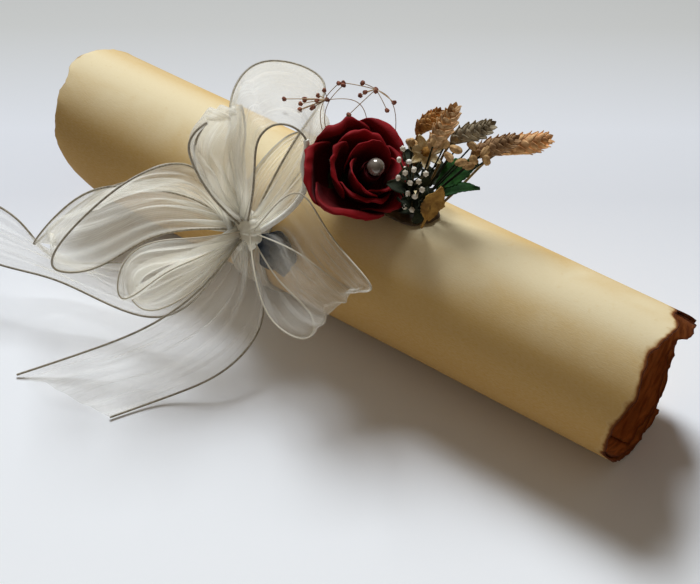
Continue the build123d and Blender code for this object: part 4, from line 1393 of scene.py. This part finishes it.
class SCROLL_OT_sprigs(bpy.types.Operator):
    """Make the sprigs of buds and of small white blossoms, and the leaflets and seed heads between"""

    bl_idname = "scroll.sprigs"
    bl_label = "Sprigs"

    EXTRA = {
        "bud_sprig_1": (
            (-17, 0, 25), (-14.5, 0, 23), (-19, 0, 20), (-15.5, -2, 27.5), (-12, 0, 29), (-13, -1, 25),
            (-17.5, -2, 22.5), (-9, -1, 33),
        ),
        "bud_sprig_2": ((1, 4, 37), (7, 2, 38), (-1, 0, 27), (12, 4, 35), (3, 0, 36)),
    }
    BLOSSOMS = (
        (20.6, -4.0, 27.6), (19.4, -4.0, 22.8), (22.8, -4.0, 23.8), (23.5, -7.0, 22.1), (26.4, -7.0, 24.8),
        (25.3, -7.0, 19.2), (28.2, -7.0, 21.2), (24.7, -7.0, 14.7), (27.1, -7.0, 14.8), (29.4, -7.0, 18.7),
        (23.9, -7.0, 9.1), (26.3, -7.0, 9.2), (30.4, -7.0, 25.3), (21.2, -7.0, 19.0),
    )
    STRAW = ((-6, 3, 2), (-12, 1, 18), (-9, 0, 30), (-4.5, 0, 37))
    LEAFLETS = (
        (22, -6, 8), (25, -5, 9), (23, -4, 14), (27, -3, 13), (22, -3, 17), (26, -2, 17), (24, -6, 12),
        (20, -5, 13), (28, -4, 8), (29, -2, 11), (24, -5, 6), (27, -5, 6),
    )
    BACK_LEAFLETS = (
        (5, 12, 2), (9, 14, 2), (13, 15, 2), (18, 15, 2), (23, 14, 3), (27, 12, 4), (7, 12, 6), (12, 14, 7),
        (16, 15, 8), (21, 14, 8), (25, 12, 9), (3, 9, 4), (19, 12, 12),
    )
    SEEDS = (
        (25, 6, 26), (28, 7, 25), (31, 8, 24), (33, 8, 20), (36, 10, 21), (34, 12, 24), (38, 13, 23),
        (17, 6, 21), (16, 8, 19), (35, 9, 19), (39, 12, 21), (30, 6, 22),
    )

    def execute(self, context):
        tree = sprig_tree()
        twig = dried_plant("fine twig", (206, 180, 146), (160, 128, 92), 300.0)
        dark = dried_plant("bud", (170, 108, 84), (104, 58, 44), 600.0)
        bud = small_bud("bud_tip", 1.0, 2.6, 5)
        for i, (foot, route, tips) in enumerate(BUD_SPRIGS):
            name = f"bud_sprig_{i + 1}"
            trunk = smooth_line([on_pad(foot)] + [over_roll(point) for point in route], 24)
            lines = [trunk]
            lines += [self.branch(trunk[-1], over_roll(tip)) for tip in tips + self.EXTRA[name]]
            if i == 0:
                for shift in (0.0, 1.6):
                    straw = [over_roll((x + shift, y, z)) for x, y, z in self.STRAW]
                    lines.append(smooth_line(straw, 30))
            values = {"Stem_Radius": 0.13 * MM, "Tip_Size": 0.62, "Tip": bud, "Stem": twig, "Flower": dark}
            keep(from_tree(f"{name}_dressed", tree, lines, **values), "dried_stem", name)
        foot, route, tips = FILLER_SPRIG
        trunk = smooth_line([on_pad(foot)] + [over_roll(point) for point in route], 12)
        lines = [trunk] + [self.branch(trunk[-2], over_roll(tip)) for tip in tips + self.BLOSSOMS]
        white = dried_plant("white blossom", (246, 242, 232), (206, 190, 164), 500.0)
        green = dried_plant("sprig stem", (96, 84, 52), (48, 44, 26), 300.0)
        blossom = small_bud("blossom_tip", 1.25, 2.1, 6)
        values = {"Stem_Radius": 0.28 * MM, "Tip_Size": 0.66, "Tip": blossom}
        piece = from_tree("white_filler", tree, lines, Stem=green, Flower=white, **values)
        keep(piece, "dried_stem", "filler_sprig")
        bpy.data.objects.remove(bud)
        bpy.data.objects.remove(blossom)
        self.foliage()
        return {"FINISHED"}

    def foliage(self):
        """Dark leaflets and seed heads packed round the feet of the stems."""
        tree = sprig_tree()
        moss = dried_plant("dark foliage", (44, 50, 28), (20, 24, 12), 420.0, airy=0.9)
        seeds = dried_plant("seed heads", (226, 186, 132), (150, 112, 68), 500.0, airy=0.95)
        leaflet = self.leaflet()
        grain = small_bud("seed_tip", 1.1, 4.2, 7)
        for name, foot, tip, finish, tips in (
            ("dark_foliage", (22, -1), leaflet, moss, self.LEAFLETS),
            ("back_foliage", (14, 6), leaflet, moss, self.BACK_LEAFLETS),
            ("seed_heads", (22, -1), grain, seeds, self.SEEDS),
        ):
            lines = [self.branch(on_pad(foot), over_roll(end)) for end in tips]
            values = {"Stem_Radius": 0.25 * MM, "Tip_Size": 1.0, "Tip": tip, "Stem": moss, "Flower": finish}
            keep(from_tree(name, tree, lines, **values), "dried_leaf" if tip is leaflet else "dried_stem")
        bpy.data.objects.remove(leaflet)
        bpy.data.objects.remove(grain)

    def leaflet(self):
        """Small cupped oval leaflet about the origin."""

        def place(climb, side):
            half = 2.3 * max(0.06, sin(pi * (0.06 + 0.9 * climb)))
            return (7.0 * climb - 3.5, half * side, 0.8 * side**2 + 1.6 * sin(pi * climb) - 0.8)

        return thick_sheet("leaflet", blade(9, 7, place), 0.2)

    def branch(self, fork, tip):
        """Branch that arches a little on its way from its fork to its tip."""
        middle = fork * 0.45 + tip * 0.55 + (0.3, -0.3, 0.5)
        return smooth_line([fork, middle, tip], 8)


class SCROLL_OT_leaves(bpy.types.Operator):
    """Make the leaves"""

    bl_idname = "scroll.leaves"
    bl_label = "Leaves"

    TONES = {
        "leaf_green_upper": ((44, 96, 34), (18, 52, 16)),
        "leaf_green_lower": ((36, 82, 30), (14, 42, 12)),
        "leaf_dried_brown": ((186, 142, 70), (116, 82, 36)),
    }

    def execute(self, context):
        for seed, (name, form) in enumerate(LEAVES.items()):
            finish = dried_plant(f"{name} blade".replace("_", " "), *self.TONES[name], 260.0, airy=0.75)
            keep(self.leaf(name, *form, 3.0 * seed), "dried_leaf", name, material=finish)
        return {"FINISHED"}

    def leaf(self, name, foot, base, belly, tip, width, lean, seed):
        """Toothed, crinkled blade folded along its midrib, with its stalk."""
        root = on_pad(foot)
        base, belly, tip = [over_roll(point) for point in (base, belly, tip)]
        rows, columns = 40, 17
        spine = smooth_line([base, belly, tip], rows)
        along = Vector(tip - base).normalized()
        flat = Vector((0.0, 0.0, 1.0)).cross(along).normalized()
        flat = Matrix.Rotation(radians(lean), 3, along) @ flat
        up = np.array(along.cross(flat))
        flat = np.array(flat)
        grid = np.zeros((rows, columns, 3))
        for i, j, climb, side in spans(rows, columns):
            outline = np.interp(climb, (0, 0.25, 0.5, 0.75, 1.0), (0.06, 0.4, 0.5, 0.36, 0.03))
            tooth = 1.0 + 0.12 * abs(sin(11.0 * pi * climb)) - 0.06
            crinkle = noise.noise(Vector((climb * 5.0, side * 2.0, seed)))
            rise = 0.9 * abs(side) + 0.8 * crinkle * abs(side) - 0.5 * sin(pi * climb)
            grid[i, j] = spine[i] + flat * side * width * outline * tooth + up * rise
        piece = thick_sheet(f"{name}_blade", grid, 0.3)
        route = smooth_line([root, (root + base) / 2.0, base + (spine[3] - base)], 12)
        stalk = from_tree(f"{name}_stalk", edge_wire_tree(), [route], Radius=0.42 * MM)
        return joined(f"{name}_dressed", piece, stalk)


def joined(name, *pieces):
    """One piece from several meshes."""
    with bpy.context.temp_override(active_object=pieces[0], selected_editable_objects=list(pieces)):
        bpy.ops.object.join()
    pieces[0].name = name
    return pieces[0]


class SCROLL_OT_star(bpy.types.Operator):
    """Make the small star-shaped dried flower"""

    bl_idname = "scroll.star"
    bl_label = "Star flower"

    def execute(self, context):
        foot, bend, top = on_pad(STAR_TIP[0]), over_roll(STAR_TIP[1]), over_roll(STAR_TIP[2])
        beige = dried_plant("beige petal", (240, 226, 190), (206, 176, 118), 500.0)
        values = {"Count": 7, "Start": 0.2, "Ripple": 0.5 * MM, "Size_Spread": 0.1, "Seed": 9}
        bloom = from_tree("star_petals", petal_ring_tree(), self.petal(), Petal=beige, **values)
        place = frame_to(top, Vector(top) + STAR_FACING)
        bloom.data.transform(place)
        eye = small_bud("star_eye", 1.5, 1.8, 9)
        eye.data.materials.append(dried_plant("star eye", (190, 140, 66), (120, 78, 32), 900.0))
        eye.data.transform(place @ raised(0.5))
        twig = dried_plant("star stem", (120, 96, 60), (70, 52, 30), 300.0)
        line = smooth_line([foot, bend, top], 20)
        stem = from_tree("star_stem", edge_wire_tree(), [line], Radius=0.4 * MM, Thread=twig)
        keep(joined("star_bloom", bloom, eye, stem), "dried_stem", "star_flower")
        return {"FINISHED"}

    def petal(self):
        """Narrow pointed petal that lies along X and tips up."""

        def place(climb, side):
            half = 1.3 * max(0.08, sin(pi * (0.15 + 0.84 * climb)) ** 0.9)
            return (0.7 + 4.7 * climb, side * half, 1.4 * climb**2 + 0.4 * side**2)

        return plain_petal("star_petal", blade(12, 7, place), 0.25)


class SCROLL_OT_bloom(bpy.types.Operator):
    """Make the grey-blue bloom beside the knot"""

    bl_idname = "scroll.bloom"
    bl_label = "Slate bloom"

    def execute(self, context):
        x, angle = BLOOM_PLACE
        roll_radius = context.scene.scroll_paper.radius / MM
        out = Vector((0.0, cos(radians(angle)), sin(radians(angle))))
        seat = Vector((x, 0.0, AXIS_Z)) + out * (wrapped_radius(angle, roll_radius) + 0.15)
        place = frame_to(seat, seat + out)
        slate = dried_plant("slate petal", (50, 58, 70), (22, 27, 34), 220.0)
        values = {"Count": 5, "Start": 0.3, "Ripple": 0.8 * MM, "Size_Spread": 0.05, "Seed": 5}
        bloom = from_tree("slate_petals", petal_ring_tree(), self.petal(), Petal=slate, **values)
        bloom.data.transform(place @ raised(1.1))
        eye = small_bud("slate_eye", 2.1, 3.2, 8)
        eye.data.materials.append(dried_plant("slate eye", (50, 55, 60), (28, 32, 37), 700.0))
        eye.data.transform(place @ raised(1.8))
        keep(joined("slate_bloom_dressed", bloom, eye), "slate_petal", "slate_bloom")
        return {"FINISHED"}

    def petal(self):
        """Broad round petal along X with a waved rim."""

        def place(climb, side):
            half = 4.3 * sqrt(max(0.02, sin(pi * (0.08 + 0.88 * climb))))
            wave = noise.noise(Vector((climb * 2.0, side * 1.5, 4.0)))
            rise = 0.9 * climb**2 + 0.5 * side + 0.8 * wave * climb
            return (0.8 + 7.0 * climb - side**2 * climb, side * half, rise)

        return plain_petal("slate_petal", blade(16, 15, place), 0.3)


class SCROLL_OT_glue(bpy.types.Operator):
    """Make the set glue that holds the flowers on the roll"""

    bl_idname = "scroll.glue"
    bl_label = "Glue"

    CENTRE = (12.0, 1.2)
    HALF_WIDTH = 7.0

    def execute(self, context):
        rows, columns = 72, 12
        grid = np.zeros((rows, columns, 3))
        for i, j, turn, share in round_spans(rows, columns):
            out = share**0.8
            wander = noise.noise(Vector((cos(turn) * 1.8, sin(turn) * 1.8, 3.0)))
            reach = 11.0 * np.sign(cos(turn)) * abs(cos(turn)) ** 0.3 + 8.0 * cos(turn)
            x = self.CENTRE[0] + out * reach * (0.94 + 0.1 * wander)
            y = self.CENTRE[1] + out * self.HALF_WIDTH * sin(turn) * (0.92 + 0.14 * wander)
            lump = noise.noise(Vector((x * 0.35, y * 0.35, 0.0)))
            rise = 0.15 + (2.1 + 0.8 * lump) * (1.0 - out**2.5)
            grid[i, j] = (x, y, AXIS_Z + sqrt(ROLL_RADIUS**2 - y**2) + rise)
        piece = thick_sheet("set_glue", grid, 0.2, wrap=True)
        keep(piece, "glue", "glue_pad", material=set_glue())
        return {"FINISHED"}


class SCROLL_OT_stage(bpy.types.Operator):
    """Set up the floor, the light and the camera"""

    bl_idname = "scroll.stage"
    bl_label = "Stage"

    FLOOR_HALF = 4000.0
    LAMP_PLACE = (-455.0, 515.0, 885.0)
    LAMP_AIM = (0.0, 0.0, 30.0)
    LAMP_SIZE = 0.38
    LAMP_TINT = (0.86, 0.93, 1.0)
    ROOM_TINT = (1.0, 0.86, 0.69, 1.0)
    CAMERA_PLACE = (185.6, -265.3, 344.0)
    CAMERA_RIGHT = (0.8185, 0.5744, 0.0)
    CAMERA_UP = (-0.4183, 0.5961, 0.6853)

    def execute(self, context):
        stage = context.scene.scroll_stage
        self.floor(tuple(stage.floor))
        self.lights(stage)
        self.camera(stage)
        context.scene.view_settings.view_transform = "Standard"
        context.scene.cycles.transparent_max_bounces = 48
        return {"FINISHED"}

    def floor(self, colour):
        """Pale floor with painted shade that darkens it away from the camera."""
        finish = Finish("floor", 0.9, Specular_IOR_Level=0.1)
        x, y, _ = finish.axes(finish.place())
        ahead = finish.maths("MULTIPLY_ADD", y, 0.82, finish.times(x, -0.57))
        tone = finish.ramp(
            finish.between(ahead, -0.11, 0.19),
            (0.0, shade(252, 252, 253)),
            (0.33, shade(236, 236, 238)),
            (0.52, colour),
            (0.64, colour),
            (0.85, shade(189, 187, 183)),
            (1.0, shade(176, 174, 170)),
        )
        finish.wear(tone)
        reach = self.FLOOR_HALF
        points = [(-reach, -reach, 0), (reach, -reach, 0), (reach, reach, 0), (-reach, reach, 0)]
        floor = new_mesh("floor", points, [(0, 1, 2, 3)])
        floor.data.materials.append(finish.material)
        floor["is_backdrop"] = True

    def lights(self, stage):
        """Soft cool window light from behind and a dim warm room."""
        world = bpy.data.worlds.new("room")
        world.use_nodes = True
        sky = world.node_tree.nodes["Background"].inputs
        sky["Color"].default_value = self.ROOM_TINT
        sky["Strength"].default_value = stage.fill
        bpy.context.scene.world = world
        lamp = bpy.data.lights.new("window", "AREA")
        lamp.energy = stage.key
        lamp.size = self.LAMP_SIZE
        lamp.color = self.LAMP_TINT
        light = linked("window", lamp)
        light.location = Vector(self.LAMP_PLACE) * MM
        back = light.location - Vector(self.LAMP_AIM) * MM
        light.rotation_euler = back.to_track_quat("Z", "Y").to_euler()

    def camera(self, stage):
        """Camera fitted to the outline of the roll in the photo."""
        data = bpy.data.cameras.new("camera")
        data.lens = stage.lens
        data.sensor_width = 36.0
        data.clip_start = 0.01
        data.clip_end = 20.0
        camera = linked("camera", data)
        right, up = Vector(self.CAMERA_RIGHT), Vector(self.CAMERA_UP)
        turn = Matrix((right, up, right.cross(up))).transposed().to_4x4()
        camera.matrix_world = Matrix.Translation(Vector(self.CAMERA_PLACE) * MM) @ turn
        bpy.context.scene.camera = camera


class SCROLL_PT_panel(bpy.types.Panel):
    """Sizes, colours and steps of the scroll"""

    bl_label = "Tied paper scroll"
    bl_idname = "SCROLL_PT_panel"
    bl_space_type = "VIEW_3D"
    bl_region_type = "UI"
    bl_category = "Scroll"

    def draw(self, context):
        for group in GROUPS:
            box = self.layout.box()
            owner = getattr(context.scene, group)
            for label in owner.__annotations__:
                box.prop(owner, label)
        for step in STEPS:
            self.layout.operator(step.bl_idname)


GROUPS = {
    "scroll_paper": ScrollPaper,
    "scroll_ribbon": ScrollRibbon,
    "scroll_corsage": ScrollCorsage,
    "scroll_stage": ScrollStage,
}
STEPS = (
    SCROLL_OT_roll,
    SCROLL_OT_band,
    SCROLL_OT_knot,
    SCROLL_OT_bow,
    SCROLL_OT_rose,
    SCROLL_OT_ears,
    SCROLL_OT_sprigs,
    SCROLL_OT_leaves,
    SCROLL_OT_star,
    SCROLL_OT_bloom,
    SCROLL_OT_glue,
    SCROLL_OT_stage,
)


def register():
    for label, group in GROUPS.items():
        bpy.utils.register_class(group)
        setattr(bpy.types.Scene, label, PointerProperty(type=group))
    for step in STEPS + (SCROLL_PT_panel,):
        bpy.utils.register_class(step)


def unregister():
    for step in (SCROLL_PT_panel,) + STEPS[::-1]:
        bpy.utils.unregister_class(step)
    for label, group in GROUPS.items():
        delattr(bpy.types.Scene, label)
        bpy.utils.unregister_class(group)


def main():
    register()
    for step in STEPS:
        family, name = step.bl_idname.split(".")
        getattr(getattr(bpy.ops, family), name)()
    sizes = {"cad": CAD_BOX, "visual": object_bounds()}
    plain = {label: [[float(part) for part in corner] for corner in box] for label, box in sizes.items()}


if __name__ == "__main__":
    main()
